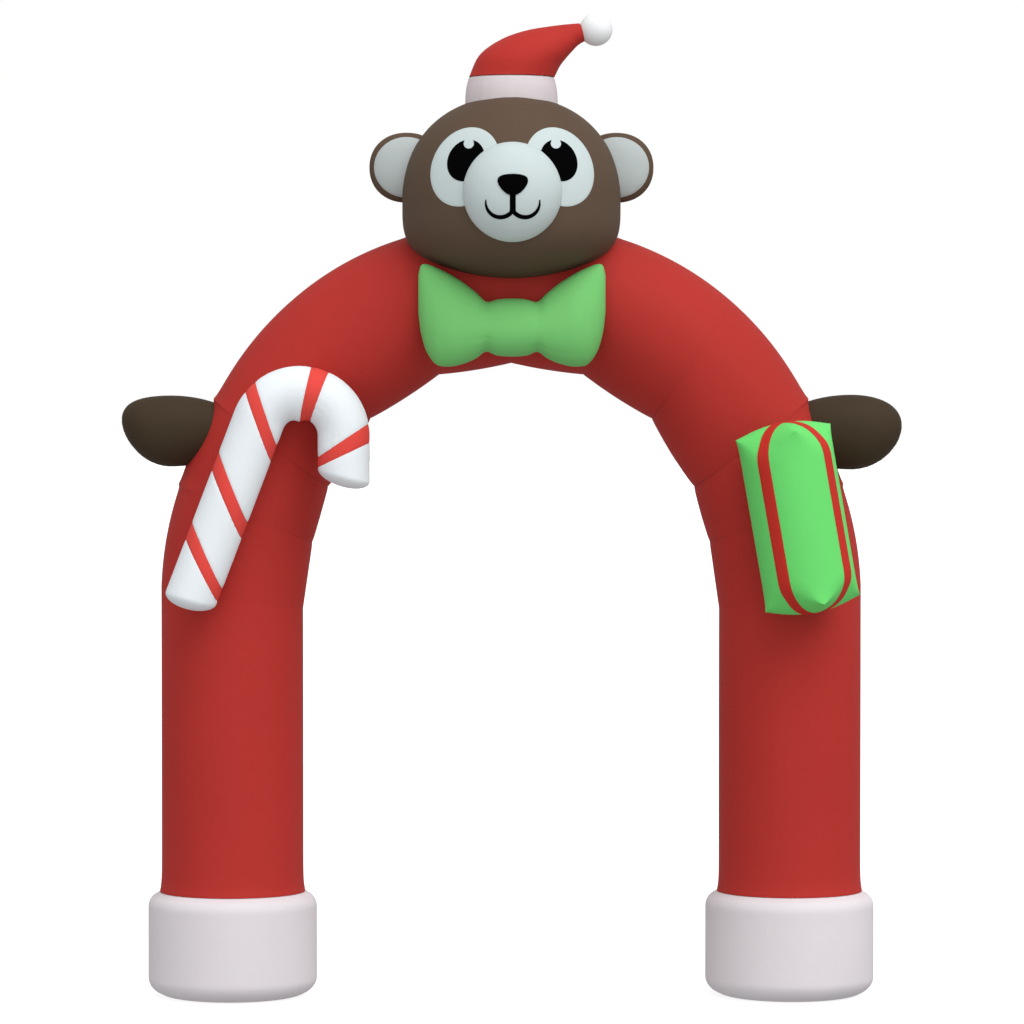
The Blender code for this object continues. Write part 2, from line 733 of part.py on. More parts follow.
def swollen_box():
    """A box full of air: round at mid height, with soft end edges and its corners drawn tight."""
    body = bmesh.new()
    bmesh.ops.create_cube(body, size=2)
    bmesh.ops.subdivide_edges(body, edges=body.edges, cuts=GIFT_CUTS, use_grid_fill=True)
    slope = math.sqrt(0.5)
    corner_z = GIFT_HALF_HEIGHT - GIFT_PINCH
    corner_reach = GIFT_HALF_SIDE / slope - GIFT_PINCH
    for vert in body.verts:
        x, y, z = vert.co
        height = 1 - (1 - abs(z)) ** GIFT_CROWDING
        level = max(abs(x), abs(y))
        turn = math.atan2(y, x)
        face_turn = round(turn / (math.pi / 2)) * (math.pi / 2)
        across = math.tan(turn - face_turn)
        aside = across * math.pi / 4
        seam_z = corner_z - (corner_z - GIFT_SEAM[1]) * (1 - across**2)
        below = max(0, 1 - (1 - height) * seam_z / GIFT_SHOULDER)
        face = GIFT_GIRTH * math.sqrt(1 - (1 - (GIFT_SEAM[0] / GIFT_GIRTH) ** 2) * below**2)
        corner = GIFT_GIRTH + (corner_reach - GIFT_GIRTH) * height**2
        power = 1 / math.log2(face / (slope * corner))
        radius = face / (math.cos(aside) ** power + abs(math.sin(aside)) ** power) ** (1 / power)
        up = height * seam_z
        if abs(z) > 1 - GAP:
            fall = GIFT_DOME * level**2 + (1 - GIFT_DOME) * level**GIFT_CAP_POWER
            up = seam_z + (GIFT_TOP - seam_z) * (1 - fall)
            radius *= level
        if min(abs(x), abs(y), abs(z)) > 1 - GAP:
            radius += GIFT_PINCH
            up += GIFT_PINCH
        turn = face_turn + aside
        vert.co = (radius * math.cos(turn), radius * math.sin(turn), math.copysign(up, z))
    return mesh_of(body)


def make_gift():
    box = part("gift_box", swollen_box(), "gift_green")
    box.location = GIFT_PLACE
    box.rotation_euler = (0, math.radians(GIFT_LEAN), 0)
    turn = Matrix.Rotation(math.radians(GIFT_YAW), 4, "Z")
    box.data.transform(turn)
    wide = 2 * GIFT_HALF_SIDE
    arms = ((wide, RIBBON_HALF_WIDTH), (RIBBON_HALF_WIDTH,) * 2, (RIBBON_HALF_WIDTH, wide))
    outline = []
    for x_sign, y_sign in ((1, 1), (-1, 1), (-1, -1), (1, -1)):
        points = arms[:: x_sign * y_sign]
        outline.extend((x_sign * x, y_sign * y) for x, y in points)
    cross = prism(outline, "Z", 2 * GIFT_HALF_HEIGHT)
    cross.transform(turn)
    ribbon = sewn_panel("gift_ribbon", cross, GIFT_PLACE, box, "ribbon_red")
    ribbon.rotation_euler = box.rotation_euler
    near = [GORES["right", 2], GORES["right", 3], LEGS["right"]]
    seat(box, *near)
    seat(ribbon, *near)


make_gift()
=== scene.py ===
# %% [markdown]
# # A walk-through inflatable arch
#
# A fan keeps an arch like this one hard with air. It is sewn from polyester taffeta, a thin, closely
# woven cloth that hardly stretches, so every chamber takes the shape of its cut panels: gores make the
# tube turn, a ball is cut like an orange, and each seam draws the cloth in and gathers it a little.
# The packed solids give every size and place. Here each chamber is built again with enough points to
# show seams, puckers and pinched corners, and then it gets its cloth.

# %% Load the solids
import math

import bmesh
import bpy
import numpy as np
from mathutils import Matrix, Vector
from mathutils.bvhtree import BVHTree
from mathutils.geometry import delaunay_2d_cdt


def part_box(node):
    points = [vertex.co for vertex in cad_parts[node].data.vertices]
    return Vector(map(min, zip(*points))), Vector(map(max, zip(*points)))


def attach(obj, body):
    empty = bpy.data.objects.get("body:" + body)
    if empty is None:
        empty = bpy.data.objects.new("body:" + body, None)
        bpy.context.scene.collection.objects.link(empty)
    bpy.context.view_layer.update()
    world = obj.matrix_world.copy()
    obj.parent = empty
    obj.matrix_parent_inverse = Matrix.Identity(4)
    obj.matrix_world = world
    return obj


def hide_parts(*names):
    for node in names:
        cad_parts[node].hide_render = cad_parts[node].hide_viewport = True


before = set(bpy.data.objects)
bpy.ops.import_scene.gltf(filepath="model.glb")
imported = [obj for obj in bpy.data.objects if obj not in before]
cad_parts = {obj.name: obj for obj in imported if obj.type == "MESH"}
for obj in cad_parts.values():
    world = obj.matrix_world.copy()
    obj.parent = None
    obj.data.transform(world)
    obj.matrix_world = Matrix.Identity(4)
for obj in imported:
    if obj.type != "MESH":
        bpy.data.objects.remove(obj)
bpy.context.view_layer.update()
scene = bpy.context.scene


def placed(name, data):
    """A new object in the scene."""
    made = bpy.data.objects.new(name, data)
    scene.collection.objects.link(made)
    return made


print("solids:", len(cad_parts))

# %% [markdown]
# ## The view
#
# The camera stands 14.5 m in front of the arch with a long lens, so that the tube's front and back keep
# nearly the same width. The target sits a little below the middle of the arch. The view transform is
# Standard, because the cloth colours are meant to be seen as they are dyed.

# %% Camera
CAMERA_PLACE = Vector((-0.13, -14.362, 1.9))
CAMERA_AIM = Vector((0.0025, 0.138, 1.4817))
CAMERA_LENS = 166.59  # millimetres, on a sensor 36 mm wide

camera = placed("camera", bpy.data.cameras.new("camera"))
camera.data.lens = CAMERA_LENS
camera.data.sensor_width = 36
camera.location = CAMERA_PLACE
camera.rotation_euler = (CAMERA_AIM - CAMERA_PLACE).to_track_quat("-Z", "Y").to_euler()
scene.camera = camera
scene.view_settings.view_transform = "Standard"
print("the camera looks over", round((CAMERA_AIM - CAMERA_PLACE).length, 2), "m")

# %% [markdown]
# ## Shader maths
#
# A material is a net of nodes, and a net is hard to read as code. The class below holds one output of a
# node. Adding or multiplying such flows adds the Math node that does it, so a weave can be written as a
# sum of sines. Every other node comes from one method that takes its type, its settings and what goes
# into its sockets.

# %% Flow, one output of a node


class Flow:
    """An output in a node tree, on which sums can be written."""

    def __init__(self, tree, socket=None):
        self.tree, self.socket = tree, socket

    def node(self, kind, settings, sockets, output=0):
        made = self.tree.nodes.new(kind)
        for name, value in settings.items():
            setattr(made, name, value)
        for name, value in sockets.items():
            if isinstance(value, Flow):
                self.tree.links.new(value.socket, made.inputs[name])
            else:
                made.inputs[name].default_value = value
        return Flow(self.tree, made.outputs[output])

    def maths(self, operation, *others):
        return self.node("ShaderNodeMath", {"operation": operation}, dict(enumerate((self, *others))))

    def __add__(self, other):
        return self.maths("ADD", other)

    def __sub__(self, other):
        return self.maths("SUBTRACT", other)

    def __rsub__(self, other):
        return self * -1 + other

    def __mul__(self, other):
        return self.maths("MULTIPLY", other)

    __radd__ = __add__
    __rmul__ = __mul__

    def sine(self):
        return self.maths("SINE")

    def between(self, low, high):
        """A smooth step from 0 at low to 1 at high."""
        sockets = {"Value": self, "From Min": low, "From Max": high}
        return self.node("ShaderNodeMapRange", {"interpolation_type": "SMOOTHSTEP"}, sockets)

    def part_of(self, name):
        """One component of a vector."""
        return self.node("ShaderNodeSeparateXYZ", {}, {"Vector": self}, name)

    def noise(self, scale, detail=2.0):
        """Soft patches, about this many to a metre."""
        sockets = {"Vector": self, "Scale": scale, "Detail": detail}
        return self.node("ShaderNodeTexNoise", {"noise_dimensions": "3D"}, sockets)

    def blend(self, first, second):
        """The first colour where this is 0, and the second where it is 1."""
        colours = {"Factor": self, "A": first, "B": second}
        return self.node("ShaderNodeMix", {"data_type": "RGBA"}, colours, "Result")


print("a flow knows:", ", ".join(name for name in vars(Flow) if not name.startswith("_")))

# %% [markdown]
# ## Floor and light
#
# The floor is a plain white sheet. A sun stands high to the front right, and it is as wide as a large
# studio lamp, so its shadows are soft. White air fills them, with more of it from the front and less of
# it from below. The floor throws no light back on the cloth, so the undersides stay darker.

# %% Floor
FLOOR_REACH = 90.0
FLOOR_LEVEL = -0.0004
SQUARE = ((-1, -1), (1, -1), (1, 1), (-1, 1))
WHITE = (1, 1, 1, 1)
PAPER = {
    "Base Color": (0.62, 0.62, 0.62, 1),
    "Roughness": 1,
    "Specular IOR Level": 0,
    "Emission Color": WHITE,
    "Emission Strength": 0.7,
}


def finished(name, values):
    """A new material with these values in its shader, and the shader."""
    made = bpy.data.materials.new(name)
    made.use_nodes = True
    shader = made.node_tree.nodes["Principled BSDF"]
    for socket, value in values.items():
        shader.inputs[socket].default_value = value
    return made, shader


corners = [(x * FLOOR_REACH, y * FLOOR_REACH, FLOOR_LEVEL) for x, y in SQUARE]
floor_mesh = bpy.data.meshes.new("floor")
floor_mesh.from_pydata(corners, [], [(0, 1, 2, 3)])
floor_mesh.materials.append(finished("paper", PAPER)[0])
floor = placed("floor", floor_mesh)
floor.visible_diffuse = False
floor.visible_glossy = False
print("floor", 2 * FLOOR_REACH, "m wide")

# %% Sun and air
SUN_FROM = Vector((0.32, -0.49, 0.81))
SUN_STRENGTH = 1.80
SUN_WIDTH = math.radians(54)
AIR_LIGHT = 0.60
FRONT_LIGHT = 0.34  # more of it from the front
LOW_SHARE = 0.71  # and less from below
HORIZON_BLUR = 0.3

sun = placed("sun", bpy.data.lights.new("sun", "SUN"))
sun.data.energy = SUN_STRENGTH
sun.data.angle = SUN_WIDTH
sun.rotation_euler = SUN_FROM.to_track_quat("Z", "Y").to_euler()

scene.world = bpy.data.worlds.new("air")
scene.world.use_nodes = True
backdrop = Flow(scene.world.node_tree)
seen = backdrop.node("ShaderNodeLightPath", {}, {}, "Is Camera Ray")
ways = backdrop.node("ShaderNodeTexCoord", {}, {}, "Generated")
from_front = (ways.part_of("Y") * -1).maths("MAXIMUM", 0.0)
from_above = ways.part_of("Z").between(-HORIZON_BLUR, HORIZON_BLUR)
lit = (from_front * FRONT_LIGHT + AIR_LIGHT) * (from_above * (1 - LOW_SHARE) + LOW_SHARE)
background = backdrop.tree.nodes["Background"].inputs
background["Color"].default_value = WHITE
backdrop.tree.links.new((lit + seen * (1 - lit)).socket, background["Strength"])
print("light: sun", SUN_STRENGTH, "air", AIR_LIGHT)

# %% [markdown]
# ## The cloth
#
# All panels are the same polyester in different dyes. Up close it shows its weave, the fine crinkle
# that packing leaves, small differences in the dye, and a row of stitches beside each seam; a band
# along each seam is painted a shade darker, as painted shade. The weave is worked out from where a
# point is in space, so it runs over every shape without unwrapping it. Only the stitches and the
# painted seam shade need a map: it says how far along the seam a point lies and how far away from it.

# %% Colours
SRGB_STEP = 0.04045
DYES = {  # 8-bit sRGB
    "tube_red": (180, 51, 45),
    "foot_white": (224, 218, 222),
    "fur_brown": (93, 76, 62),
    "arm_brown": (64, 52, 38),
    "face_white": (201, 213, 213),
    "ear_white": (185, 193, 192),
    "face_black": (4, 4, 5),
    "hat_red": (186, 52, 46),
    "band_white": (220, 210, 213),
    "ball_white": (244, 246, 247),
    "bow_green": (119, 199, 115),
    "cane_white": (235, 241, 245),
    "cane_red": (226, 75, 67),
    "gift_green": (110, 222, 114),
    "ribbon_red": (196, 50, 40),
}


def linear(value):
    """The light of an 8-bit sRGB value, from 0 to 1."""
    share = value / 255
    return share / 12.92 if share <= SRGB_STEP else ((share + 0.055) / 1.055) ** 2.4


def shade(colour, share):
    """A colour for a socket, with this share of its light."""
    return (*(min(1, linear(c) * share) for c in colour), 1)


print("dyes:", ", ".join(DYES))

# %% Polyester
THREAD = 0.0006  # metres from one thread to the next
STITCH = 0.0045
STITCH_ROW = 0.004
STITCH_THICK = 0.0007
STITCH_SHADE, STITCH_COVER = 0.9, 0.7  # as bright as this share of the cloth, and how much it hides
SEAM_ALLOWANCE = 0.012
# painted seam shade: how dark the band along each seam is painted, and how much of it shows
SEAM_PAINTED_SHADE, SEAM_PAINTED_COVER = 0.75 + 0.25 * STITCH_SHADE, 0.5
DYE_SHADES = (0.965, 1.03)
FIBRE_SHADE, FIBRE_COVER = 0.90, 0.35
DYE_PATCHES, WORN_PATCHES, PACKING_PATCHES, FIBRE_PATCHES = 2.3, 9, 26, 420  # to a metre
WEAVE_HIGH, PACKING_HIGH, CREASE_DEEP, STITCH_HIGH = 0.00002, 0.0011, 0.00006, 0.0001
DULL = {"roughness": 0.9, "sheen": 0.0, "gloss": 0.02}


def polyester(name, colour, roughness=0.62, sheen=0.03, gloss=0.10):
    values = {
        "Metallic": 0,
        "Specular IOR Level": gloss,
        "Sheen Weight": sheen,
        "Sheen Roughness": 0.35,
        "Sheen Tint": shade(colour, 1.3),
    }
    made, shader = finished(name, values)
    start = Flow(made.node_tree)
    place = start.node("ShaderNodeTexCoord", {}, {}, "Object")
    sewn = start.node("ShaderNodeUVMap", {"uv_map": "sewn"}, {})
    run, away = sewn.part_of("X"), sewn.part_of("Y")

    x, y, z = ((place.part_of(axis) * (2 * math.pi / THREAD)).sine() for axis in "XYZ")
    weave = x * z + y * z + x * y
    packing = place.noise(PACKING_PATCHES, 3)
    crease = 1 - (packing - 0.5).maths("ABSOLUTE").between(0, 0.05)
    row = 1 - (away - STITCH_ROW).maths("ABSOLUTE").between(STITCH_THICK * 0.6, STITCH_THICK)
    stitch = row * (run * (2 * math.pi / STITCH)).sine().between(-0.6, -0.2)
    # painted seam shade: a band along each seam, painted a shade darker
    doubled_area_and_painted_seam_shade = 1 - away.between(SEAM_ALLOWANCE * 0.7, SEAM_ALLOWANCE)

    dye = place.noise(DYE_PATCHES, 3).between(0.3, 0.7)
    fibre = place.noise(FIBRE_PATCHES).between(0.25, 0.75)
    base = dye.blend(*(shade(colour, share) for share in DYE_SHADES))
    base = (fibre * FIBRE_COVER).blend(base, shade(colour, FIBRE_SHADE))
    base = (doubled_area_and_painted_seam_shade * SEAM_PAINTED_COVER).blend(base, shade(colour, SEAM_PAINTED_SHADE))
    base = (stitch * STITCH_COVER).blend(base, shade(colour, STITCH_SHADE))

    height = weave * WEAVE_HIGH + packing * PACKING_HIGH
    height = height - crease * CREASE_DEEP + (stitch - row) * STITCH_HIGH
    sockets = {"Height": height, "Distance": 1.0, "Strength": 1.0}
    bump = height.node("ShaderNodeBump", {}, sockets, "Normal")
    worn = place.noise(WORN_PATCHES) * 0.10 + fibre * 0.04 + (roughness - 0.05)
    for socket, flow in (("Base Color", base), ("Roughness", worn), ("Normal", bump)):
        start.tree.links.new(flow.socket, shader.inputs[socket])
    return made


CLOTHS = {}
for name, dye in DYES.items():
    CLOTHS[name] = polyester(name, dye, **(DULL if name == "face_black" else {}))
print("cloths:", len(CLOTHS))

# %% [markdown]
# ## From rows of points to a chamber
#
# Every chamber is a skin over rows of points, as a tent is over its hoops. Rows keep the points in
# order, so seams can be placed exactly, a swelling or a fold is one more number per point, and the map
# for the stitches comes for free. The helper closes both ends and turns all faces outward.

# %% Pieces
GAP = 0.0003  # between one layer and the next
SEWN_GAP = 0.00008  # between chambers that are sewn together
FAR = 1.0  # a distance from any seam that shows no stitches
CREASE_ANGLE = math.radians(50)


def read(mesh, what):
    """The places ("co") or the normals of a mesh's points, a row for each."""
    values = np.empty(len(mesh.vertices) * 3, np.float32)
    mesh.vertices.foreach_get(what, values)
    return values.reshape(-1, 3)


def piece_of(name, points, faces, sewn):
    """An object from points, faces and one (run, away) pair per face corner."""
    mesh = bpy.data.meshes.new(name)
    mesh.from_pydata(points, [], faces)
    mesh.uv_layers.new(name="sewn").uv.foreach_set("vector", np.asarray(sewn, np.float32).ravel())
    mesh.shade_smooth()
    mesh.set_sharp_from_angle(angle=CREASE_ANGLE)
    return placed(name, mesh)


print("layers lie", GAP * 1000, "mm apart")

# %% Skins


def skin(name, rows, run=None, away=None):
    """A closed piece through rows of points; run and away have one column more than the rows."""
    count, sides = rows.shape[:2]
    print(f"{name}: {count} rows of {sides} points")
    shape = (count, sides + 1)
    run = np.zeros(shape) if run is None else np.broadcast_to(run, shape)
    away = np.full(shape, FAR) if away is None else np.broadcast_to(away, shape)
    i, j = (grid.ravel() for grid in np.meshgrid(np.arange(count - 1), np.arange(sides), indexing="ij"))
    corners = [(i, j), (i, j + 1), (i + 1, j + 1), (i + 1, j)]
    quads = np.stack([a * sides + b % sides for a, b in corners], 1)
    sewn = np.stack([np.stack([run[a, b], away[a, b]], -1) for a, b in corners], 1)
    points = np.vstack([rows.reshape(-1, 3), rows[0].mean(0), rows[-1].mean(0)])
    here, hub = np.arange(sides), np.full(sides, count * sides)
    beside, last = (here + 1) % sides, (count - 1) * sides
    caps = np.hstack([[hub, beside, here], [hub + 1, last + here, last + beside]]).T
    corner = points[np.vstack([quads[:, :3], quads[:, [0, 2, 3]], caps])]
    if np.einsum("ij,ij->i", corner[:, 0], np.cross(corner[:, 1], corner[:, 2])).sum() < 0:
        quads, sewn, caps = quads[:, ::-1], sewn[:, ::-1], caps[:, ::-1]
    flat = np.tile([0.0, FAR], (len(caps) * 3, 1))
    faces = quads.tolist() + caps.tolist()
    return piece_of(name, points.tolist(), faces, np.vstack([sewn.reshape(-1, 2), flat]))


# %% Measures of rows


def circle(count):
    """Turns that divide a circle evenly."""
    return np.linspace(0, 2 * math.pi, count, endpoint=False)


def oval_rows(ends, half_depths, sides, plane):
    """Rings that span from one point (x, z) to another, around a plane of constant depth."""
    turn = circle(sides)
    first, last = ends[:, None, :2], ends[:, None, 2:]
    flat = (first + last) / 2 + (first - last) / 2 * np.cos(turn)[None, :, None]
    return np.insert(flat, 1, plane + half_depths[:, None] * np.sin(turn), -1), turn


def outward(rows):
    """The outward direction at every point of the rows."""
    around = np.roll(rows, -1, 1) - np.roll(rows, 1, 1)
    normal = np.cross(around, np.gradient(rows, axis=0))
    normal /= np.maximum(np.linalg.norm(normal, axis=-1, keepdims=True), 1e-12)
    middle = rows.mean(1, keepdims=True)
    return normal * np.sign(((rows - middle) * normal).sum())


def pushed(rows, distance):
    """The rows with each point moved outward by its own distance."""
    return rows + outward(rows) * distance[..., None]


def along_rows(rows):
    """How far each point lies along its column of points, in metres."""
    steps = np.linalg.norm(np.diff(rows, axis=0), axis=-1)
    return np.vstack([np.zeros(rows.shape[1]), np.cumsum(steps, 0)])


def closed(values):
    """The values with their first column repeated at the end."""
    return np.concatenate([values, values[:, :1]], 1)


def evenly(start, end, count, ends=0.5):
    """Numbers from start to end that lie closer together near both ends; ends 0 spaces them evenly."""
    share = np.linspace(0, 1, count)
    return start + (end - start) * (share * (1 - ends) + (1 - np.cos(math.pi * share)) / 2 * ends)


print("steps of a row:", np.diff(evenly(0, 1, 6)).round(2).tolist())

# %% [markdown]
# ## Folds
#
# Cloth that is sewn to a shorter edge has nowhere to go, so it lies in small folds that run away from
# the seam and fade out. Waves of several lengths with fixed random phases make folds of unequal width
# and length. A fold is a narrow valley between rounder swellings, so the valley is cut only near the
# places where the sum of the waves passes through zero.

# %% Waves, gathers and puckers
PUCKERS = {  # how deep and wide a seam's dip is, then how many folds leave it, how deep and how long
    "foot": (0.0012, 0.005, 46, 0.0016, 0.022),
    "cone": (0.0010, 0.004, 26, 0.0016, 0.020),
    "cane": (0.0016, 0.005, 18, 0.0016, 0.016),
}
WAVE_COUNTS = (0.5, 0.8, 1.0, 1.35, 1.9)  # waves of each kind, as shares of the number asked for
WAVE_LEVEL = 2.2  # brings their sum to between about -1 and 1
VALLEY_WIDTH, VALLEY_POWER = 0.45, 1.4
FOLD_UNEVEN, FOLD_SHORTEST = 0.7, 0.25  # how unlike the lengths of folds are


def waves(turn, count, seed):
    """Irregular waves round a closed line, mostly between -1 and 1, about count of them."""
    draw = np.random.default_rng(seed)
    total = 0
    for share in WAVE_COUNTS:
        swing = draw.uniform(0.5, 1)
        phase = draw.uniform(0, 2 * math.pi)
        total = total + swing * np.cos(max(1, round(count * share)) * turn + phase)
    return total / WAVE_LEVEL


def gathers(turn, away, count, depth, reach, seed):
    """How far cloth is drawn in beside a seam: valleys that fade out, of different lengths."""
    longer = 1 + FOLD_UNEVEN * waves(turn, max(2, count // 4), seed + 1)
    length = reach * np.maximum(longer, FOLD_SHORTEST)
    valley = np.clip(1 - np.abs(waves(turn, count, seed)) / VALLEY_WIDTH, 0, 1) ** VALLEY_POWER
    return -depth * valley * np.exp(-away / length)


def puckered(turn, away, seam, seed):
    """How far cloth moves out beside a seam, which has a dip along it and gathers."""
    dip, dip_reach, *folds = PUCKERS[seam]
    return gathers(turn, away, *folds, seed) - dip * np.exp(-away / dip_reach)


print("the waves of a foot reach", round(np.abs(waves(circle(360), 46, 301)).max(), 2))

# %% [markdown]
# ## Letting the air in
#
# A sewn chamber is cut flat, and the air inside gives it its shape: the cloth tightens, small creases
# gather where it is held, and no two chambers come out quite alike. Blender's Cloth does this in a few
# frames. The pull of the ground is left out, because the air holds the cloth up, and each point stays
# within a few millimetres of the place it was cut for, so that the chamber still fits its neighbours.

# %% Air
CLOTH_FRAMES = 14
AIR_MOST = 0.005  # no point moves further than this, in metres
CLOTH_RULES = {
    "quality": 5,
    "mass": 0.15,
    "tension_stiffness": 60,
    "compression_stiffness": 60,
    "shear_stiffness": 20,
    "bending_stiffness": 0.05,
    "tension_damping": 5,
    "compression_damping": 5,
    "shear_damping": 5,
    "bending_damping": 0.5,
    "air_damping": 2,
    "use_pressure": True,
    "uniform_pressure_force": 3.0,
    "shrink_min": -0.001,  # cut fuller by this share
}


def blown(points, faces, held):
    mesh = bpy.data.meshes.new("cloth")
    mesh.from_pydata(points.tolist(), [], faces.tolist())
    cloth = placed("cloth", mesh)
    step = cloth.modifiers.new("air", "CLOTH")
    step.collision_settings.use_collision = False
    step.collision_settings.use_self_collision = False
    for name, value in CLOTH_RULES.items():
        setattr(step.settings, name, value)
    step.settings.effector_weights.gravity = 0
    pins = cloth.vertex_groups.new(name="pins")
    pins.add(np.flatnonzero(held).tolist(), 1.0, "REPLACE")
    step.settings.vertex_group_mass = pins.name
    for frame_number in range(1, CLOTH_FRAMES + 1):
        scene.frame_set(frame_number)
    moved = read(cloth.evaluated_get(bpy.context.evaluated_depsgraph_get()).data, "co") - points
    bpy.data.objects.remove(cloth)
    bpy.data.meshes.remove(mesh)
    scene.frame_set(1)
    far = np.linalg.norm(moved, axis=1, keepdims=True)
    print(f"air moved the cloth by up to {far.max() * 1000:.1f} mm")
    return points + moved * AIR_MOST / (AIR_MOST + far)


print("air acts for", CLOTH_FRAMES, "frames")

# %% [markdown]
# ## Dressing a solid
#
# Each new piece stands for one solid of the packed model. One helper gives it its cloth, lets it ride
# on the arch and takes the solid's place. A second helper finishes a chamber with it: where two
# chambers meet, the later one is hollowed by a slightly swollen copy of the earlier one, so that they
# touch along a clean line. A chamber that only leans on its neighbour is pressed flat against it
# instead.

# %% Dress
TRIANGLES = {}


def dress(piece, node, cloth, dye=None):
    """Gives a piece its cloth, and lets it stand for its solid."""
    piece.data.materials.clear()
    piece.data.materials.append(CLOTHS[dye or cloth])
    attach(piece, "root")
    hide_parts(node)
    TRIANGLES[piece.name] = sum(len(face.vertices) - 2 for face in piece.data.polygons)
    print(f"{piece.name}: {TRIANGLES[piece.name]} triangles")


def swollen(piece):
    """A helper copy of a piece with every point moved out."""
    mesh = piece.data.copy()
    mesh.vertices.foreach_set("co", (read(mesh, "co") + read(mesh, "normal") * GAP).ravel())
    return placed("room_" + piece.name, mesh)


def hollow(piece, *neighbours):
    """Takes the room of its neighbours out of a piece."""
    rooms = [swollen(neighbour) for neighbour in neighbours]
    for room in rooms:
        step = piece.modifiers.new(room.name, "BOOLEAN")
        step.operation = "DIFFERENCE"
        step.solver = "EXACT"
        step.object = room
    graph = bpy.context.evaluated_depsgraph_get()
    mesh = bpy.data.meshes.new_from_object(piece.evaluated_get(graph))
    piece.modifiers.clear()
    piece.data = mesh
    mesh.shade_smooth()
    mesh.set_sharp_from_angle(angle=CREASE_ANGLE)
    for room in rooms:
        bpy.data.objects.remove(room)


def inflate(piece, node, cloth, rooms=(), dye=None):
    """Finishes a chamber full of air, which leaves room for the pieces that it is sewn to."""
    if rooms:
        hollow(piece, *rooms)
    dress(piece, node, cloth, dye)
    return piece


def chamber(node, cloth, rows, run=None, away=None, rooms=(), dye=None, name=None):
    """The finished chamber that stands for a node, from its rows of points."""
    return inflate(skin(name or f"{node}_cloth", rows, run, away), node, cloth, rooms, dye)


# %% Press
PRESS_REACH = 0.12  # how far away a neighbour's surface is looked for


def tree_of(*pieces):
    """The surface of pieces as one search tree."""
    points, faces = [], []
    for piece in pieces:
        start = len(points)
        points.extend(vert.co.copy() for vert in piece.data.vertices)
        faces.extend([start + index for index in face.vertices] for face in piece.data.polygons)
    return BVHTree.FromPolygons(points, faces)


def press(rows, tree):
    """Moves the points that lie inside a neighbour to just outside its surface."""
    flat = rows.reshape(-1, 3)
    for index, point in enumerate(flat):
        spot, normal, _, _ = tree.find_nearest(Vector(point), PRESS_REACH)
        if spot is None:
            continue
        depth = (Vector(point) - spot).dot(normal)
        if depth < GAP:
            flat[index] = spot + normal * GAP
    return flat.reshape(rows.shape)


print("a neighbour is looked for within", PRESS_REACH, "m")

# %% [markdown]
# ## Sizes
#
# The box round each solid says where the piece is. A few words of arithmetic turn the boxes into the
# sizes that the shapes below are driven by, so nothing has to be fitted afterwards. The arch stands in
# one upright plane, and the seams of its tube are lines across that plane.

# %% Read sizes from the solids


def low(node):
    return np.array(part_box(node)[0])


def high(node):
    return np.array(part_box(node)[1])


def middle(node):
    return (low(node) + high(node)) / 2


def half_size(node):
    return (high(node) - low(node)) / 2


SIDES = {"left": -1, "right": 1}
PLANE_Y = middle("foot_right")[1]
TUBE_RADIUS = half_size("arch_right_2")[1]
LEG_X = middle("foot_right")[0]
FOOT_RADIUS = half_size("foot_right")[0]
FOOT_HEIGHT = high("foot_right")[2]
ARCH_CENTRE_Z = 1.304
CROWN_INNER_Z = 1.938
PLUMB_Z = (1.2573, 1.1870)  # below these heights the outer and the inner side of a leg are upright
print(f"tube {2 * TUBE_RADIUS:.3f} m thick, feet {2 * FOOT_RADIUS:.3f} m across")

# %% [markdown]
# ## The tube
#
# A bent tube of cloth that can't stretch is made of gores: wedges that are wide on the outer side of
# the bend and short on the inner side, sewn together along straight cuts. From the front, the inner
# line of the arch is a row of straight pieces with a kink at each seam, while the outer line is nearly
# round. Seams where the bend is strong are drawn in and gathered at the side that has too much cloth.
# Each gore is lofted from one cut to the next: the outer points follow the arch, the inner points run
# straight, and each ring of points is an oval between them.

# %% Seams of the tube
TUBE_SIDES = 144
GORE_ROWS = 44
GORE_SWELLS = ((0.002, 0.004), (0.002, 0.005), (0.002, 0.006), (0.000, 0.002))
SEAM_DEPTH = 0.994
CHAIN = ["arch_right_1", "arch_right_2", "arch_right_3", "arch_right_4", "leg_right"]
SEAM_FRONT = {"left": 0.3, "right": 1.0}
SEAM_TUCKS = (  # how far each seam is drawn in: on its outer side, on its inner side and all round
    (0.0000, 0.0000, 0.0000),
    (0.0000, 0.0000, 0.0000),
    (0.0000, 0.0006, 0.0000),
    (-0.0068, 0.0010, 0.0005),
    (-0.0055, 0.0012, 0.0001),
)
TUCK_REACH = (0.007, 0.020)  # below the seam and above it
GORE_FOLDS, FOLD_LENGTH = 34, 0.030
GORE_SLACK = 0.0007  # soft unevenness between the seams

seam_ends = [((0.0, high(CHAIN[0])[2]), (0.0, CROWN_INNER_Z))]
for above, below in zip(CHAIN, CHAIN[1:]):
    outer_end = (high(above)[0], high(below)[2])
    inner_end = (low(below)[0], low(above)[2])
    seam_ends.append((outer_end, inner_end))
seam_ends.append(((LEG_X + TUBE_RADIUS, PLUMB_Z[0]), (LEG_X - TUBE_RADIUS, PLUMB_Z[1])))
seam_ends = np.array(seam_ends)
TURN = circle(TUBE_SIDES)
TO_OUTER = np.maximum(0, np.cos(TURN)) ** 3
TO_INNER = np.maximum(0, -np.cos(TURN)) ** 3
print("seams at", np.round(seam_ends, 3).tolist())

# %% Rings between two seams
ROUND_RUN = np.linspace(0, 2 * math.pi * TUBE_RADIUS, TUBE_SIDES + 1)


def polar(point):
    """Turn from the top of the arch, and distance from its centre."""
    x, z = point[0], point[1] - ARCH_CENTRE_Z
    return math.atan2(x, z), math.hypot(x, z)


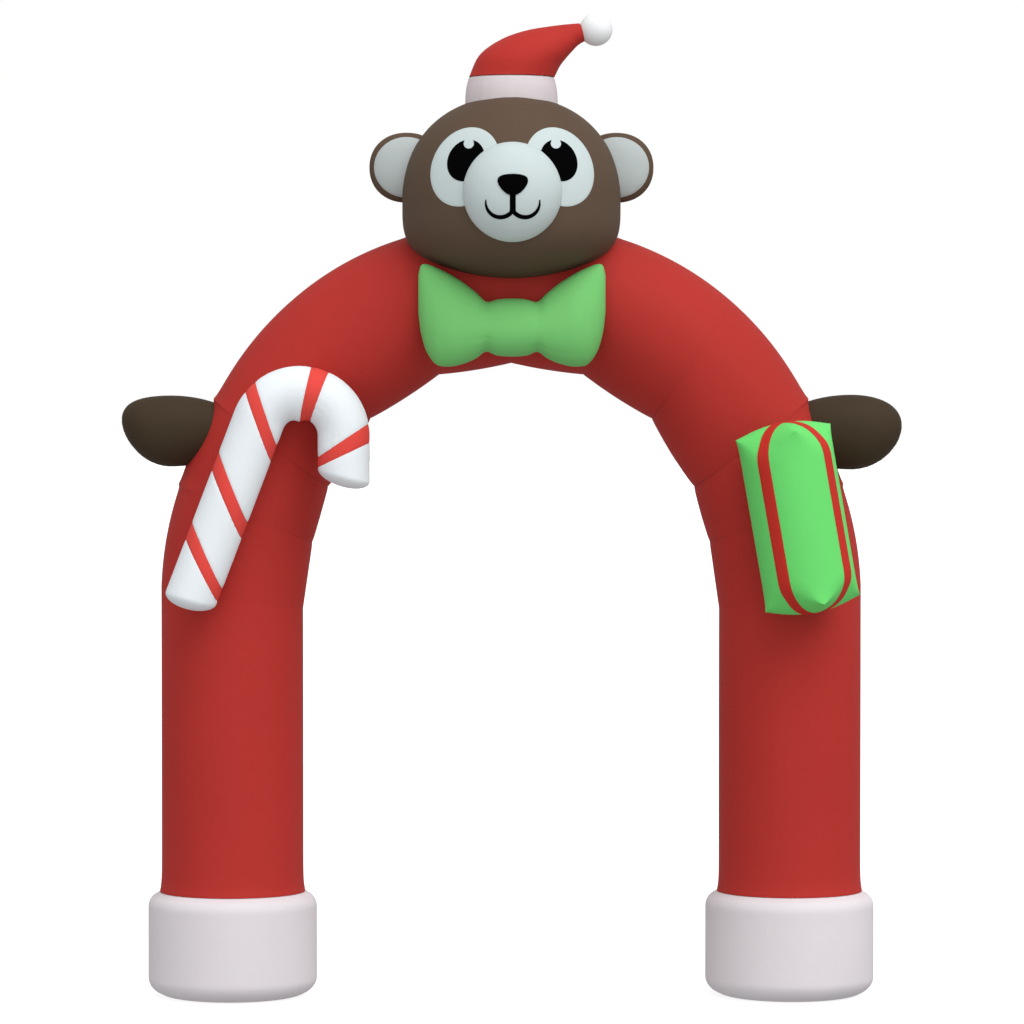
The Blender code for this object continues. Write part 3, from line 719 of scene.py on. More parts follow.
def tube_rings(first, last, shares, swell_most):
    """Rings of the tube between two seams, before any folds, on the right-hand side."""
    (turn_a, reach_a), (turn_b, reach_b) = polar(seam_ends[first][0]), polar(seam_ends[last][0])
    ends, half_depths = [], []
    for share in shares:
        swell = math.sin(math.pi * share) ** 0.8
        turn = turn_a + (turn_b - turn_a) * share
        reach = reach_a + (reach_b - reach_a) * share
        outer = np.array([reach * math.sin(turn), ARCH_CENTRE_Z + reach * math.cos(turn)])
        inner = seam_ends[first][1] * (1 - share) + seam_ends[last][1] * share
        across = (outer - inner) / np.linalg.norm(outer - inner)
        outer = outer + across * swell * swell_most[0]
        inner = inner - across * swell * swell_most[1]
        ends.append((*outer, *inner))
        half_depths.append(TUBE_RADIUS * (SEAM_DEPTH + (1 - SEAM_DEPTH) * swell))
    return oval_rows(np.array(ends), np.array(half_depths), TUBE_SIDES, PLANE_Y)[0]


print("degrees from the top:", [round(math.degrees(polar(end)[0]), 1) for end in seam_ends[:, 0]])

# %% Tuck and sew a length of the tube


def tucked(rings, tucks, seeds, front):
    """The rings with the cloth drawn in and gathered at both ends."""
    run = along_rows(rings)
    total = np.zeros(rings.shape[:2])
    for away, reach, (outer, inner, base), seed in zip((run, run[-1] - run), TUCK_REACH, tucks, seeds):
        depth = inner * TO_INNER + base * front
        total -= outer * TO_OUTER * np.exp(-away / reach) + depth * np.exp(-away / TUCK_REACH[0])
        total += gathers(TURN, away, GORE_FOLDS, depth, FOLD_LENGTH, seed)
    slack = waves(TURN, 5, seeds[0] + 50) * np.sin(math.pi * run / run[-1]) * GORE_SLACK
    return pushed(rings, total + slack), np.minimum(run, run[-1] - run)


def sewn_tube(word, node, rings, tucks, seeds):
    """A finished length of the tube, with its end rings half the sewing gap from its neighbours."""
    rings, away = tucked(rings, tucks, seeds, SEAM_FRONT[word])
    for end, beside in ((0, 1), (-1, -2)):
        step = rings[beside] - rings[end]
        rings[end] += step / np.linalg.norm(step, axis=-1, keepdims=True) * SEWN_GAP / 2
    return chamber(node, "tube_red", rings * (SIDES[word], 1, 1), ROUND_RUN, closed(away))


print(GORE_FOLDS, "folds at a seam, each about", FOLD_LENGTH, "m long")

# %% Rings of the legs
FOOT_SEAM = FOOT_HEIGHT + GAP
LEG_FLARE, FLARE_REACH = 0.007, 0.022  # a leg widens where the foot holds it
LEG_DIP, DIP_REACH = 0.0012, 0.004  # and is drawn in at the seam itself
LEG_ROWS, BEND_ROWS = 96, 26

ends, half_depths = [], []
for height in evenly(1, 0, LEG_ROWS, 0.6):
    outer_z, inner_z = (FOOT_SEAM + (plumb - FOOT_SEAM) * height for plumb in PLUMB_Z)
    over = (outer_z + inner_z) / 2 - FOOT_SEAM
    radius = TUBE_RADIUS + LEG_FLARE * math.exp(-over / FLARE_REACH)
    radius -= LEG_DIP * math.exp(-over / DIP_REACH)
    share = SEAM_DEPTH + (1 - SEAM_DEPTH) * min(1, (1 - height) * 6)  # full a sixth of the way down
    ends.append((LEG_X + radius, outer_z, LEG_X - radius, inner_z))
    half_depths.append(radius * share)
upright, _ = oval_rows(np.array(ends), np.array(half_depths), TUBE_SIDES, PLANE_Y)
leg_rings = np.vstack([tube_rings(4, 5, evenly(0, 1, BEND_ROWS, 0)[:-1], (0, 0)), upright])
print("rings in a leg:", len(leg_rings))

# %% Sew the gores and the legs
tube = {}
for word, side in SIDES.items():
    for number in range(4):
        rings = tube_rings(number, number + 1, evenly(0, 1, GORE_ROWS), GORE_SWELLS[number])
        seeds = [(10 * number + first + 100 * side) % 997 for first in (3, 13)]
        node = f"arch_{word}_{number + 1}"
        tube[word, number] = sewn_tube(word, node, rings, SEAM_TUCKS[number : number + 2], seeds)
    tucks = (SEAM_TUCKS[4], (0, 0, 0))
    tube[word, 4] = sewn_tube(word, f"leg_{word}", leg_rings, tucks, (71 + side, 81 + side))

# %% [markdown]
# ## Feet
#
# Each leg stands on a drum that holds sandbags or water. It is two discs and a wall, and air rounds the
# edges where they are sewn. A profile turned about the upright axis is the plainest way to make it. The
# rim is gathered all round, because the disc is smaller than the wall wants it to be.

# %% Profiles
FOOT_ROUND_ABOVE = (0.046, 0.046)
FOOT_ROUND_BELOW = (0.078, 0.056)
FOOT_SIDES = 160
FOOT_STEP = 0.006
FOOT_PLAIN = (0.004, 0.002)  # nearer than this to the floor or the top, the discs stay flat
FOOT_SEAMS = (8, 14)  # the seams lie at these points of the round edges, above and below
HUB = 0.002  # the radius at which a profile meets its axis


def quarter(centre, half, start, end, count):
    """A quarter of an oval, between two turns in degrees."""
    turn = np.radians(np.linspace(start, end, count))
    return [(centre[0] + half[0] * math.cos(t), centre[1] + half[1] * math.sin(t)) for t in turn]


def lengths(line):
    """How far each of its points lies along a line."""
    return np.concatenate([[0], np.cumsum(np.linalg.norm(np.diff(line, axis=0), axis=1))])


def resampled(line, step):
    """Points along a line, step apart."""
    line = np.array(line, float)
    run = lengths(line)
    at = np.linspace(0, run[-1], max(3, round(run[-1] / step)))
    return np.stack([np.interp(at, run, column) for column in line.T], -1), at


def turned_rows(line, sides, centre):
    """Rows round an upright axis for a profile of (radius, height)."""
    turn = circle(sides)
    x = centre[0] + line[:, :1] * np.cos(turn)
    y = centre[1] + line[:, :1] * np.sin(turn)
    return np.stack([x, y, np.broadcast_to(line[:, 1:], x.shape)], -1), turn


print("a foot has a wall", round(FOOT_HEIGHT - FOOT_ROUND_ABOVE[1] - FOOT_ROUND_BELOW[1], 3), "m high")

# %% Turn the feet
(across, up), (across_low, up_low) = FOOT_ROUND_ABOVE, FOOT_ROUND_BELOW
top = quarter((FOOT_RADIUS - across, FOOT_HEIGHT - up), FOOT_ROUND_ABOVE, 90, 0, 24)
bottom = quarter((FOOT_RADIUS - across_low, up_low), FOOT_ROUND_BELOW, 0, -90, 24)
line, at = resampled([(HUB, FOOT_HEIGHT), *top, *bottom, (HUB, 0)], FOOT_STEP)
sewn_at = (top[FOOT_SEAMS[0]], bottom[FOOT_SEAMS[1]])
seams = [at[np.linalg.norm(line - seam, axis=1).argmin()] for seam in sewn_at]
away = np.min([np.abs(at - seam) for seam in seams], 0)[:, None]
wall = (line[:, 1:] > FOOT_PLAIN[0]) & (line[:, 1:] < FOOT_HEIGHT - FOOT_PLAIN[1])
run = np.linspace(0, 2 * math.pi * FOOT_RADIUS, FOOT_SIDES + 1)
for word, side in SIDES.items():
    rows, turn = turned_rows(line, FOOT_SIDES, (side * LEG_X, PLANE_Y))
    rows = pushed(rows, puckered(turn, away, "foot", 301 + side) * wall)
    chamber(f"foot_{word}", "foot_white", rows, run, away)

# %% [markdown]
# ## The head
#
# The head is a ball of brown cloth, rounder above than below, where it sits over the tube. A sphere
# with two powers gives both halves: powers above 2 make it fuller, and a low power across makes the
# chin narrow quickly. The rows are placed evenly along its outline, not by angle, because cloth detail
# needs points of one size. The tube's room is then taken out of its underside.

# %% Balls
BALL_STEP = 0.0075


def ball_rows(place, half, powers=(2, 2), down=None, down_powers=None, sides=160, step=BALL_STEP):
    """Rows of a ball from its top to its bottom; powers are of its height and of its width."""
    tilt = np.linspace(math.pi / 2, -math.pi / 2, 1801)
    below = tilt < 0
    upright, level = (np.where(below, under, over) for under, over in zip(down_powers or powers, powers))
    width = half[0] * np.maximum(np.cos(tilt), 0) ** (2 / level)
    height = np.sign(np.sin(tilt)) * np.abs(np.sin(tilt)) ** (2 / upright)
    line, at = resampled(np.stack([width, height * np.where(below, down or half[2], half[2])], -1), step)
    rows, turn = turned_rows(line[1:-1], sides, (0, 0))
    rows[..., 1] *= half[1] / half[0]
    return rows + np.array(place), turn, at[1:-1]


print("balls have rows", BALL_STEP, "m apart")

# %% Head and muzzle
HEAD_PLACE = (0.0, PLANE_Y - 0.12, 2.416)
HEAD_HALF = (0.331, 0.33, 0.326)
HEAD_DOWN = 0.236
HEAD_POWERS = (2.25, 2.25)
CHIN_POWERS = (3.6, 1.4)
HEAD_SLACK = 0.0010
HEAD_DIP, HEAD_DIP_REACH = 0.0016, 0.006  # at the seam from ear to ear
BROW_PLACE, BROW_REACH = (0.0, HEAD_PLACE[1] - 0.15), 0.115  # where the head swells under the hat
BROW_RISE, BROW_FADE = 0.0135, 0.2
MUZZLE_PLACE = (0.0, PLANE_Y - 0.42, 2.4435)
MUZZLE_HALF = (0.147, 0.112, 0.149)

rows, turn, at = ball_rows(HEAD_PLACE, HEAD_HALF, HEAD_POWERS, HEAD_DOWN, CHIN_POWERS, 200)
away = np.abs(rows[..., 1] - HEAD_PLACE[1])
from_brow = np.linalg.norm(rows[..., :2] - BROW_PLACE, axis=-1) / BROW_REACH
above = np.clip((rows[..., 2] - HEAD_PLACE[2]) / BROW_FADE, 0, 1)
rows[..., 2] += BROW_RISE * np.exp(-(from_brow**2)) * above
soft = waves(turn, 6, 401) * np.sin(math.pi * at / at[-1])[:, None] * HEAD_SLACK
rows = pushed(rows, soft - HEAD_DIP * np.exp(-away / HEAD_DIP_REACH))
run = closed(np.broadcast_to(at[:, None], away.shape))
crown_gores = [tube[word, number] for word in SIDES for number in (0, 1)]
head = chamber("head", "fur_brown", rows, run, closed(away), crown_gores)
head_tree = tree_of(head)

rows = ball_rows(MUZZLE_PLACE, MUZZLE_HALF, sides=140, step=0.005)[0]
muzzle = chamber("muzzle", "face_white", rows, rooms=[head])
muzzle_tree = tree_of(muzzle)

# %% [markdown]
# ## Panels sewn on
#
# The eyes, the nose, the mouth and the linings of the ears are flat cuts of cloth, sewn down along
# their edges onto the ball beneath. To make one, its outline is filled with small triangles, and every
# point is dropped onto the carrier's surface from the front. The same points a cloth's thickness higher
# give its outer face, and the edge is lower, as it is under stitches. Where a ball covers part of a
# panel, that part is taken off afterwards.

# %% Places in an outline


def inside_outline(points, outline):
    """Which points lie inside a closed outline."""
    within = np.zeros(len(points), bool)
    x, z = points[:, 0], points[:, 1]
    for (x1, z1), (x2, z2) in zip(outline, np.roll(outline, -1, 0)):
        if z1 != z2:
            within ^= ((z1 > z) != (z2 > z)) & (x < (x2 - x1) * (z - z1) / (z2 - z1) + x1)
    return within


def edge_distance(points, outline):
    """Distance to the outline, and how far along it the nearest place lies."""
    start, end = outline, np.roll(outline, -1, 0)
    edge = end - start
    length = np.maximum(np.linalg.norm(edge, axis=1), 1e-9)
    offset = points[:, None] - start
    share = np.clip((offset * edge).sum(-1) / length**2, 0, 1)
    gap = np.linalg.norm(offset - share[..., None] * edge, axis=-1)
    nearest = gap.argmin(1)
    pick = np.arange(len(points))
    begin = np.concatenate([[0], np.cumsum(length)[:-1]])
    return gap[pick, nearest], (begin + share * length)[pick, nearest]


nearest_edge, _ = edge_distance(np.zeros((1, 2)), np.array(SQUARE))
print("the middle of a square is", nearest_edge[0], "from its edge")

# %% Two layers of one cloth


def border_of(faces):
    """The edges that only one face has, as pairs of points."""
    edges = dict.fromkeys(pair for face in faces.tolist() for pair in zip(face, face[1:] + face[:1]))
    return [(a, b) for a, b in edges if (b, a) not in edges]


def two_layers(name, points, faces, sewn):
    """A thin closed cloth; points hold the under layer and then the upper one, which has these faces."""
    size = len(points) // 2
    walls = [(a, b, b + size, a + size) for a, b in border_of(faces)]
    sides = [*faces[:, ::-1].tolist(), *(faces + size).tolist(), *walls]
    made = piece_of(name, points, sides, [sewn[index % size] for side in sides for index in side])
    body = bmesh.new()
    body.from_mesh(made.data)
    bmesh.ops.recalc_face_normals(body, faces=body.faces)
    body.to_mesh(made.data)
    body.free()
    return made


def area_of(points, faces):
    """The area of a layer of triangles, or of quads."""
    corners = points[faces]
    doubled_area_and_painted_seam_shade = np.cross(corners[:, 2] - corners[:, 0], corners[:, -1] - corners[:, 1])
    return np.linalg.norm(doubled_area_and_painted_seam_shade, axis=1).sum() / 2


square = np.array([(x, y, 0) for x, y in SQUARE])
print("the area of a square with sides of 2 is", area_of(square, np.arange(4)[None]))

# %% Panels that follow a surface
PANEL_THICKNESS = 0.0017
EDGE_THICKNESS = 0.0006
EDGE_SLOPE = 0.003  # the width over which the edge gets its full thickness
IN_FRONT = -3.0
GRAIN, FINE_GRAIN = 0.0045, 0.0035  # between the points of a grid
GRID_ROW = 0.87  # rows of a triangular grid lie this much closer than its points


def panel(name, outline, carrier_tree, layers=0, grain=GRAIN):
    """Cloth inside an outline in X and Z that lies on the front of its carrier, and its area."""
    outline, _ = resampled([*outline, outline[0]], grain * 0.7)
    outline = outline[:-1]
    (x0, z0), (x1, z1) = outline.min(0), outline.max(0)
    grid_x, grid_z = np.meshgrid(np.arange(x0, x1, grain), np.arange(z0, z1, grain * GRID_ROW))
    grid_x[1::2] += grain / 2
    inner = np.stack([grid_x.ravel(), grid_z.ravel()], -1)
    inner = inner[inside_outline(inner, outline)]
    inner = inner[edge_distance(inner, outline)[0] > grain * 0.5]
    flat = np.vstack([outline, inner])
    count = len(outline)
    rim = [(i, (i + 1) % count) for i in range(count)]
    found = delaunay_2d_cdt([Vector(point) for point in flat], rim, [], 1, 1e-7)
    flat = np.array([tuple(point) for point in found[0]])
    triangles = np.array(found[2])
    triangles = triangles[inside_outline(flat[triangles].mean(1), outline)]
    away, run = edge_distance(flat, outline)
    lift = GAP + layers * (GAP + PANEL_THICKNESS)
    under, over = [], []
    for (x, z), gap in zip(flat, away):
        spot, normal, _, _ = carrier_tree.ray_cast(Vector((x, IN_FRONT, z)), Vector((0, 1, 0)))
        rise = EDGE_THICKNESS + (PANEL_THICKNESS - EDGE_THICKNESS) * min(1, gap / EDGE_SLOPE)
        under.append(spot + normal * lift)
        over.append(spot + normal * (lift + rise))
    made = two_layers(name, [*under, *over], triangles, list(zip(run, away)))
    print(f"{name}: {len(triangles)} triangles on a side")
    return made, area_of(np.array([tuple(point) for point in over]), triangles)


# %% Flat cuts


def sew_on(made, node, cloth, area, flat):
    """Dresses a piece as a sheet that was cut flat and is stretched over its carrier."""
    dress(made, node, cloth)
    print(f"  cut from {flat[0]:.3f} by {flat[1]:.3f} m, area {area:.4f} m2")


def one_side(piece):
    """The area of one side of a thin closed piece."""
    return sum(face.area for face in piece.data.polygons) / 2


def cut_size(outline, area):
    """The rectangle that the flat cut needs: its outline's, stretched as the surface stretches it."""
    outline = np.array(outline)
    wide, tall = outline.max(0) - outline.min(0)
    x, z = outline.T
    seen = abs((x * np.roll(z, -1) - z * np.roll(x, -1)).sum()) / 2
    grow = math.sqrt(max(1, area / seen))
    return round(float(wide * grow), 3), round(float(tall * grow), 3)


def sewn_panel(name, node, cloth, outline, carrier, tree, cover=None, flat=None, **how):
    """A finished panel on its carrier, without the part that a covering piece hides."""
    made, area = panel(name, outline, tree, **how)
    flat = flat or cut_size(outline, area)
    if cover:
        hollow(made, cover)
        area = one_side(made)
    sew_on(made, node, cloth, area, flat)
    return made


# %% [markdown]
# ## Ears, eyes, nose and mouth
#
# An ear is a flat ball on each side of the head with a lighter lining. An eye is a leaning oval with a
# black pupil on it, and the bright spot is a round bite out of the pupil that lets the white show. The
# nose is a rounded triangle that is flat above, and the mouth is two hooks on a stem.

# %% Ears
EAR_PLACE = (0.318, PLANE_Y - 0.10, 2.5295)
EAR_HALF = (0.113, 0.05, 0.106)
EAR_POWERS = (2.15, 2.15)
EAR_PANEL_INSET = 0.015


def oval_outline(x, z, half_x, half_z, lean=0.0, steps=90):
    turn, lean = circle(steps), math.radians(lean)
    a, b = half_x * np.cos(turn), half_z * np.sin(turn)
    across, up = a * math.cos(lean) + b * math.sin(lean), b * math.cos(lean) - a * math.sin(lean)
    return np.stack([x + across, z + up], -1)


for word, side in SIDES.items():
    place = (side * EAR_PLACE[0], *EAR_PLACE[1:])
    rows = ball_rows(place, EAR_HALF, EAR_POWERS, sides=120, step=0.005)[0]
    ear = skin(f"ear_{word}_cloth", rows)
    inset = [half - EAR_PANEL_INSET for half in EAR_HALF[::2]]
    outline = oval_outline(place[0], place[2], *inset)
    names = (f"ear_lining_{word}", f"ear_panel_{word}", "ear_white")
    ear_tree = tree_of(ear)
    inflate(ear, f"ear_{word}", "fur_brown", [head])
    sewn_panel(*names, outline, ear, ear_tree, cover=head)

# %% Eyes
EYE_PATCH = {"x": 0.1403, "z": 2.5196, "long": 0.123, "short": 0.098, "lean": 26.0}
PUPIL = {"x": 0.1371, "z": 2.5374, "long": 0.0643, "short": 0.0531, "lean": 27.0}
GLINT = {"x": 0.1285, "z": 2.588, "radius": 0.0155}


def leaning(row, side):
    return oval_outline(side * row["x"], row["z"], row["short"], row["long"], -side * row["lean"], 160)


def bitten(outline, centre, radius):
    """The outline without a round bite at its edge."""
    far = np.linalg.norm(outline - centre, axis=1) > radius
    first = np.flatnonzero(far & ~np.roll(far, 1))[0]
    kept = np.roll(outline, -first, 0)[: far.sum()]
    start, end = (math.atan2(*(point - centre)[::-1]) for point in (kept[-1], kept[0]))
    turn = np.linspace(start, start - (start - end) % (2 * math.pi), 30)[1:-1]
    return np.vstack([kept, centre + radius * np.stack([np.cos(turn), np.sin(turn)], -1)])


for word, side in SIDES.items():
    names = (f"eye_white_{word}", f"eye_patch_{word}", "face_white")
    patch = sewn_panel(*names, leaning(EYE_PATCH, side), head, head_tree, cover=muzzle)
    names = (f"eye_black_{word}", f"pupil_{word}", "face_black")
    glint = np.array([side * GLINT["x"], GLINT["z"]])
    outline = bitten(leaning(PUPIL, side), glint, GLINT["radius"])
    sewn_panel(*names, outline, patch, head_tree, layers=1, grain=FINE_GRAIN)

# %% Mouth
MOUTH_Z = 2.410
MOUTH_HALF = (0.0435, 0.044)
MOUTH_CENTRE = 0.036
MOUTH_LINE, MOUTH_TIP = 0.0062, 0.0015  # half widths at the stem and at the tips
MOUTH_END = math.radians(-190)
STEM_HALF_WIDTH = 0.0088
STEM_TOP_Z = 2.437  # under the nose, which is sewn over it
MOUTH_GRAIN = 0.003


def mouth_edge(start, sign):
    """One side of a hook of the mouth, from the stem to its tip."""
    share = np.linspace(0, 1, 30)
    width = sign * (MOUTH_LINE + (MOUTH_TIP - MOUTH_LINE) * share**3)
    turn = start + (MOUTH_END - start) * share
    x = -MOUTH_CENTRE + (MOUTH_HALF[0] + width) * np.cos(turn)
    return np.stack([x, MOUTH_Z + (MOUTH_HALF[1] + width) * np.sin(turn)], -1)


below = -math.acos(MOUTH_CENTRE / (MOUTH_HALF[0] + MOUTH_LINE))
above = -math.acos((MOUTH_CENTRE - STEM_HALF_WIDTH) / (MOUTH_HALF[0] - MOUTH_LINE))
half = np.vstack([mouth_edge(below, 1), mouth_edge(above, -1)[::-1], [(-STEM_HALF_WIDTH, STEM_TOP_Z)]])
outline = np.vstack([half, (half * (-1, 1))[::-1][:-1]])
flat = (round(2.4 * MOUTH_LINE, 4), round(2 * math.pi * MOUTH_HALF[1], 3))
names = ("mouth_cloth", "mouth", "face_black")
sewn_panel(*names, outline, muzzle, muzzle_tree, flat=flat, grain=MOUTH_GRAIN)

# %% Nose
NOSE_Z = 2.470
NOSE_HALF_WIDTH = 0.0445
NOSE_UP, NOSE_DOWN = 0.0225, 0.0405
NOSE_TAPER = 0.24
NOSE_BROW_POWER = 0.6

turn = circle(90)
across, up = np.cos(turn), np.sin(turn)
height = np.where(up > 0, NOSE_UP * np.abs(up) ** NOSE_BROW_POWER, NOSE_DOWN * up)
width = NOSE_HALF_WIDTH * (1 + NOSE_TAPER * np.minimum(up, 0))
outline = np.stack([width * across, NOSE_Z + height], -1)
names = ("nose_cloth", "nose", "face_black")
sewn_panel(*names, outline, muzzle, muzzle_tree, layers=1, grain=FINE_GRAIN)

# %% [markdown]
# ## The hat
#
# The band is a short ring on top of the head, and the red cone above it bends over to one side and
# ends in a white ball. The cone is a loft through ovals, each given by its left and right end, with a
# smooth curve through them. Small folds run from the band into the cone.

# %% Hat band
BAND_TOP_Z = high("hat_band")[2]
BAND_BOTTOM_Z = 2.70
BAND_TOP_RADIUS = 0.131
BAND_RADIUS = half_size("hat_band")[0]
BAND_ROUND = 0.010
BAND_BELLY = (0.0045, 0.024)  # stands out, and lies above the middle
BAND_STEP = 0.004
BAND_WAVE = 0.0006


def smoothed(table, step):
    """A smooth curve through the rows of a table, with about step between its points."""
    table = np.array(table, float)
    knots = lengths(table)
    slope = np.gradient(table, knots, axis=0)
    at = np.linspace(0, knots[-1], round(knots[-1] / step) + 1)
    i = np.clip(np.searchsorted(knots, at, side="right") - 1, 0, len(knots) - 2)
    width = (knots[i + 1] - knots[i])[:, None]
    t = (at - knots[i])[:, None] / width
    start = (2 * t**3 - 3 * t**2 + 1) * table[i] + (t**3 - 2 * t**2 + t) * width * slope[i]
    return start + (3 * t**2 - 2 * t**3) * table[i + 1] + (t**3 - t**2) * width * slope[i + 1]


edge = (BAND_TOP_RADIUS, BAND_TOP_Z - BAND_ROUND)
corner = quarter((edge[0] - BAND_ROUND, edge[1]), (BAND_ROUND,) * 2, 90, 0, 12)
belly = (BAND_TOP_RADIUS + BAND_BELLY[0], (BAND_TOP_Z + BAND_BOTTOM_Z) / 2 + BAND_BELLY[1])
side_line = smoothed([edge, belly, (BAND_RADIUS, BAND_BOTTOM_Z)], BAND_STEP)
line, at = resampled([(HUB, BAND_TOP_Z), *corner, *side_line[1:], (HUB, BAND_BOTTOM_Z)], BAND_STEP)
rows, turn = turned_rows(line, 128, HEAD_PLACE[:2])
rows = pushed(rows, waves(turn, 16, 501) * BAND_WAVE * (line[:, 1:] < BAND_TOP_Z - BAND_STEP))
chamber("hat_band", "band_white", rows, rooms=[head])

# %% Hat cone and its ball
CONE_ROWS = (  # left x and z, right x and z
    (-0.1290, 2.8033, 0.1310, 2.8033),
    (-0.0980, 2.8678, 0.1465, 2.8352),
    (-0.0320, 2.9161, 0.1670, 2.8620),
    (0.0500, 2.9448, 0.1840, 2.8810),
    (0.1090, 2.9550, 0.1968, 2.8947),
    (0.1683, 2.9623, 0.2089, 2.9040),
    (0.2060, 2.9653, 0.2245, 2.9128),
)
POMPOM_PLACE = (0.2558, HEAD_PLACE[1], 2.9469)
POMPOM_RADIUS = 0.050

table = smoothed(CONE_ROWS, 0.0065)
half_depths = np.linalg.norm(table[:, :2] - table[:, 2:], axis=1) / 2
rows, turn = oval_rows(table, half_depths, 120, HEAD_PLACE[1])
run = along_rows(rows)
fixed = np.minimum(1, np.arange(len(rows)) / 2)[:, None]
rows = pushed(rows, puckered(turn, run, "cone", 511) * fixed)
cone = chamber("hat_cone", "hat_red", rows, 0.9 * run[-1].max(), closed(run))

rows = ball_rows(POMPOM_PLACE, (POMPOM_RADIUS,) * 3, sides=96, step=0.003)[0]
chamber("hat_pompom", "band_white", rows, rooms=[cone], dye="ball_white", name="hat_ball_cloth")

# %% [markdown]
# ## The bow tie
#
# The bow is one pillow that is drawn together in the middle. Its outline is two curves, above and
# below, and its thickness swells in each wing and pinches beside the knot, where folds fan out.

# %% Bow
BOW_PLANE = PLANE_Y - 0.243
BOW_ROWS = (  # x, top, bottom, half depth
    (0.000, 2.1310, 1.9563, 0.066),
    (0.042, 2.1285, 1.9590, 0.0655),
    (0.074, 2.1216, 1.9668, 0.0640),
    (0.105, 2.1470, 1.9510, 0.0645),
    (0.147, 2.1794, 1.9340, 0.067),
    (0.190, 2.2060, 1.9260, 0.068),
    (0.225, 2.2230, 1.9310, 0.060),
    (0.252, 2.2330, 1.9620, 0.046),
    (0.272, 2.2310, 2.0200, 0.028),
    (0.281, 2.2030, 2.0830, 0.012),
)
BOW_PINCH = 0.074
BOW_DIP, BOW_DIP_REACH = 0.003, 0.016  # at the pinch
BOW_FOLDS = (7, 0.0022, 0.03)
BOW_PINCH_SIDES = (0.6, 1.5)  # the pinch fades out faster towards the knot than into the wing
BOW_TOP_SHARE = 0.25  # folds are this deep above, and deeper on the lower side
BOW_LEAN = 0.14  # its front leans back towards the top
BOW_FRONT = 0.18  # and is this much fuller than its back

table = smoothed([(-x, *row) for x, *row in BOW_ROWS[:0:-1]] + list(BOW_ROWS), 0.0055)
rows, turn = oval_rows(table[:, [0, 1, 0, 2]], table[:, 3], 112, BOW_PLANE)
outside = np.abs(table[:, :1]) - BOW_PINCH
from_pinch = np.where(outside > 0, outside / BOW_PINCH_SIDES[1], -outside / BOW_PINCH_SIDES[0])
drawn = -BOW_DIP * np.exp(-((from_pinch / BOW_DIP_REACH) ** 2))
for sign in (-1, 1):
    drawn = drawn + gathers(turn, from_pinch, *BOW_FOLDS, 601 + sign) * (np.sign(table[:, :1]) == sign)
below, front = BOW_TOP_SHARE + np.clip(-np.cos(turn), 0, 1), np.clip(-np.sin(turn), 0, 1)
rows = pushed(rows, drawn * below)
rows[..., 1] += front * (np.cos(turn) * BOW_LEAN - BOW_FRONT) * table[:, 3:]
chamber("bow_tie", "bow_green", press(rows, tree_of(*crown_gores)))

# %% [markdown]
# ## Arms
#
# The arms are two short egg-shaped stubs that stand out from the shoulders. Each is two bowls of cloth,
# a front and a back one, sewn together all round. The poles of the ball are at the front and the back,
# so its widest ring is that seam. On the lower outer side the bowls had more cloth than the seam took
# up, so small folds run towards it there. The left one is a little slimmer and turned up further.

# %% Arms
ARMS = {  # middle, half size and how far the tip is turned up
    "left": ((1.040, PLANE_Y - 0.022, 1.7300), (0.149, 0.105, 0.1085), 0.034),
    "right": ((1.040, PLANE_Y - 0.010, 1.7262), (0.155, 0.105, 0.1145), 0.020),
}
ARM_ROOT_SHARE = 1.5  # the half towards the shoulder is this much longer
ARM_POWERS = (2.15, 2.15)
ARM_FOLDS = (20, 0.0036, 0.034)
ARM_FOLDS_AT = math.radians(-48)  # they gather on the lower outer side
ARM_SMOOTH = 0.012  # and stop this far from the seam

for word, side in SIDES.items():
    (x, y, z), (long, deep, tall), tip_lift = ARMS[word]
    rows, turn, at = ball_rows((0, 0, 0), (long, tall, deep), ARM_POWERS, sides=280, step=0.0045)
    from_seam = np.abs(at - at[-1] / 2)[:, None]
    folded = 0.05 + np.clip(np.cos(turn - ARM_FOLDS_AT), 0, 1) ** 1.5
    folded = folded * (1 - np.exp(-((from_seam / ARM_SMOOTH) ** 2)))
    rows = pushed(rows, gathers(turn, from_seam, *ARM_FOLDS, 701 + side) * folded)
    out, up, aside = np.moveaxis(rows, -1, 0)
    lift = tip_lift * np.clip(out / long, 0, 1) ** 2
    out = out * np.where(out < 0, ARM_ROOT_SHARE, 1)
    rows = np.stack([side * (out + x), aside + y, up + lift + z], -1)
    chamber(f"arm_{word}", "arm_brown", rows, rooms=[tube[word, 2], tube[word, 3]])

# %% [markdown]
# ## The candy cane
#
# A white stick with a hook, sewn from eleven panels along slanting seams. The seams are straight cuts
# across the front, so a seam's place is given by its distance along the outer and the inner side of the
# stick. Halving an interval finds how far along the stick such a cut lies for each point of a ring.

# %% The line of the cane
CANE_FOOT = (-0.963, PLANE_Y - 0.28, 1.233)
CANE_RADIUS = 0.078
CANE_LEAN = math.radians(20.9)
CANE_SHAFT = 0.570
CANE_HOOK_RADIUS = 0.1316
CANE_END = 0.117
CANE_END_SLANT = 0.020
CANE_FOOT_SLANT = 0.008
CANE_DOME = 0.037
CANE_THICKER = (0.011, 0.729, 0.050)  # the inner side of the hook: how much, where and over what length
CANE_SIDES = 96
CANE_STEP = 0.0065
CANE_LENGTH = CANE_SHAFT + CANE_HOOK_RADIUS * (math.pi - CANE_LEAN) + CANE_END
CANE_TIP = (CANE_LENGTH + CANE_END_SLANT, CANE_LENGTH - CANE_END_SLANT)
STRIPES = (  # outer start and end, inner start and end
    (0.158, 0.212, 0.018, 0.060),
    (0.379, 0.437, 0.221, 0.273),
    (0.611, 0.638, 0.469, 0.520),
    (0.751, 0.785, 0.732, 0.810),
    (0.913, 0.957, 0.999, 1.029),
)
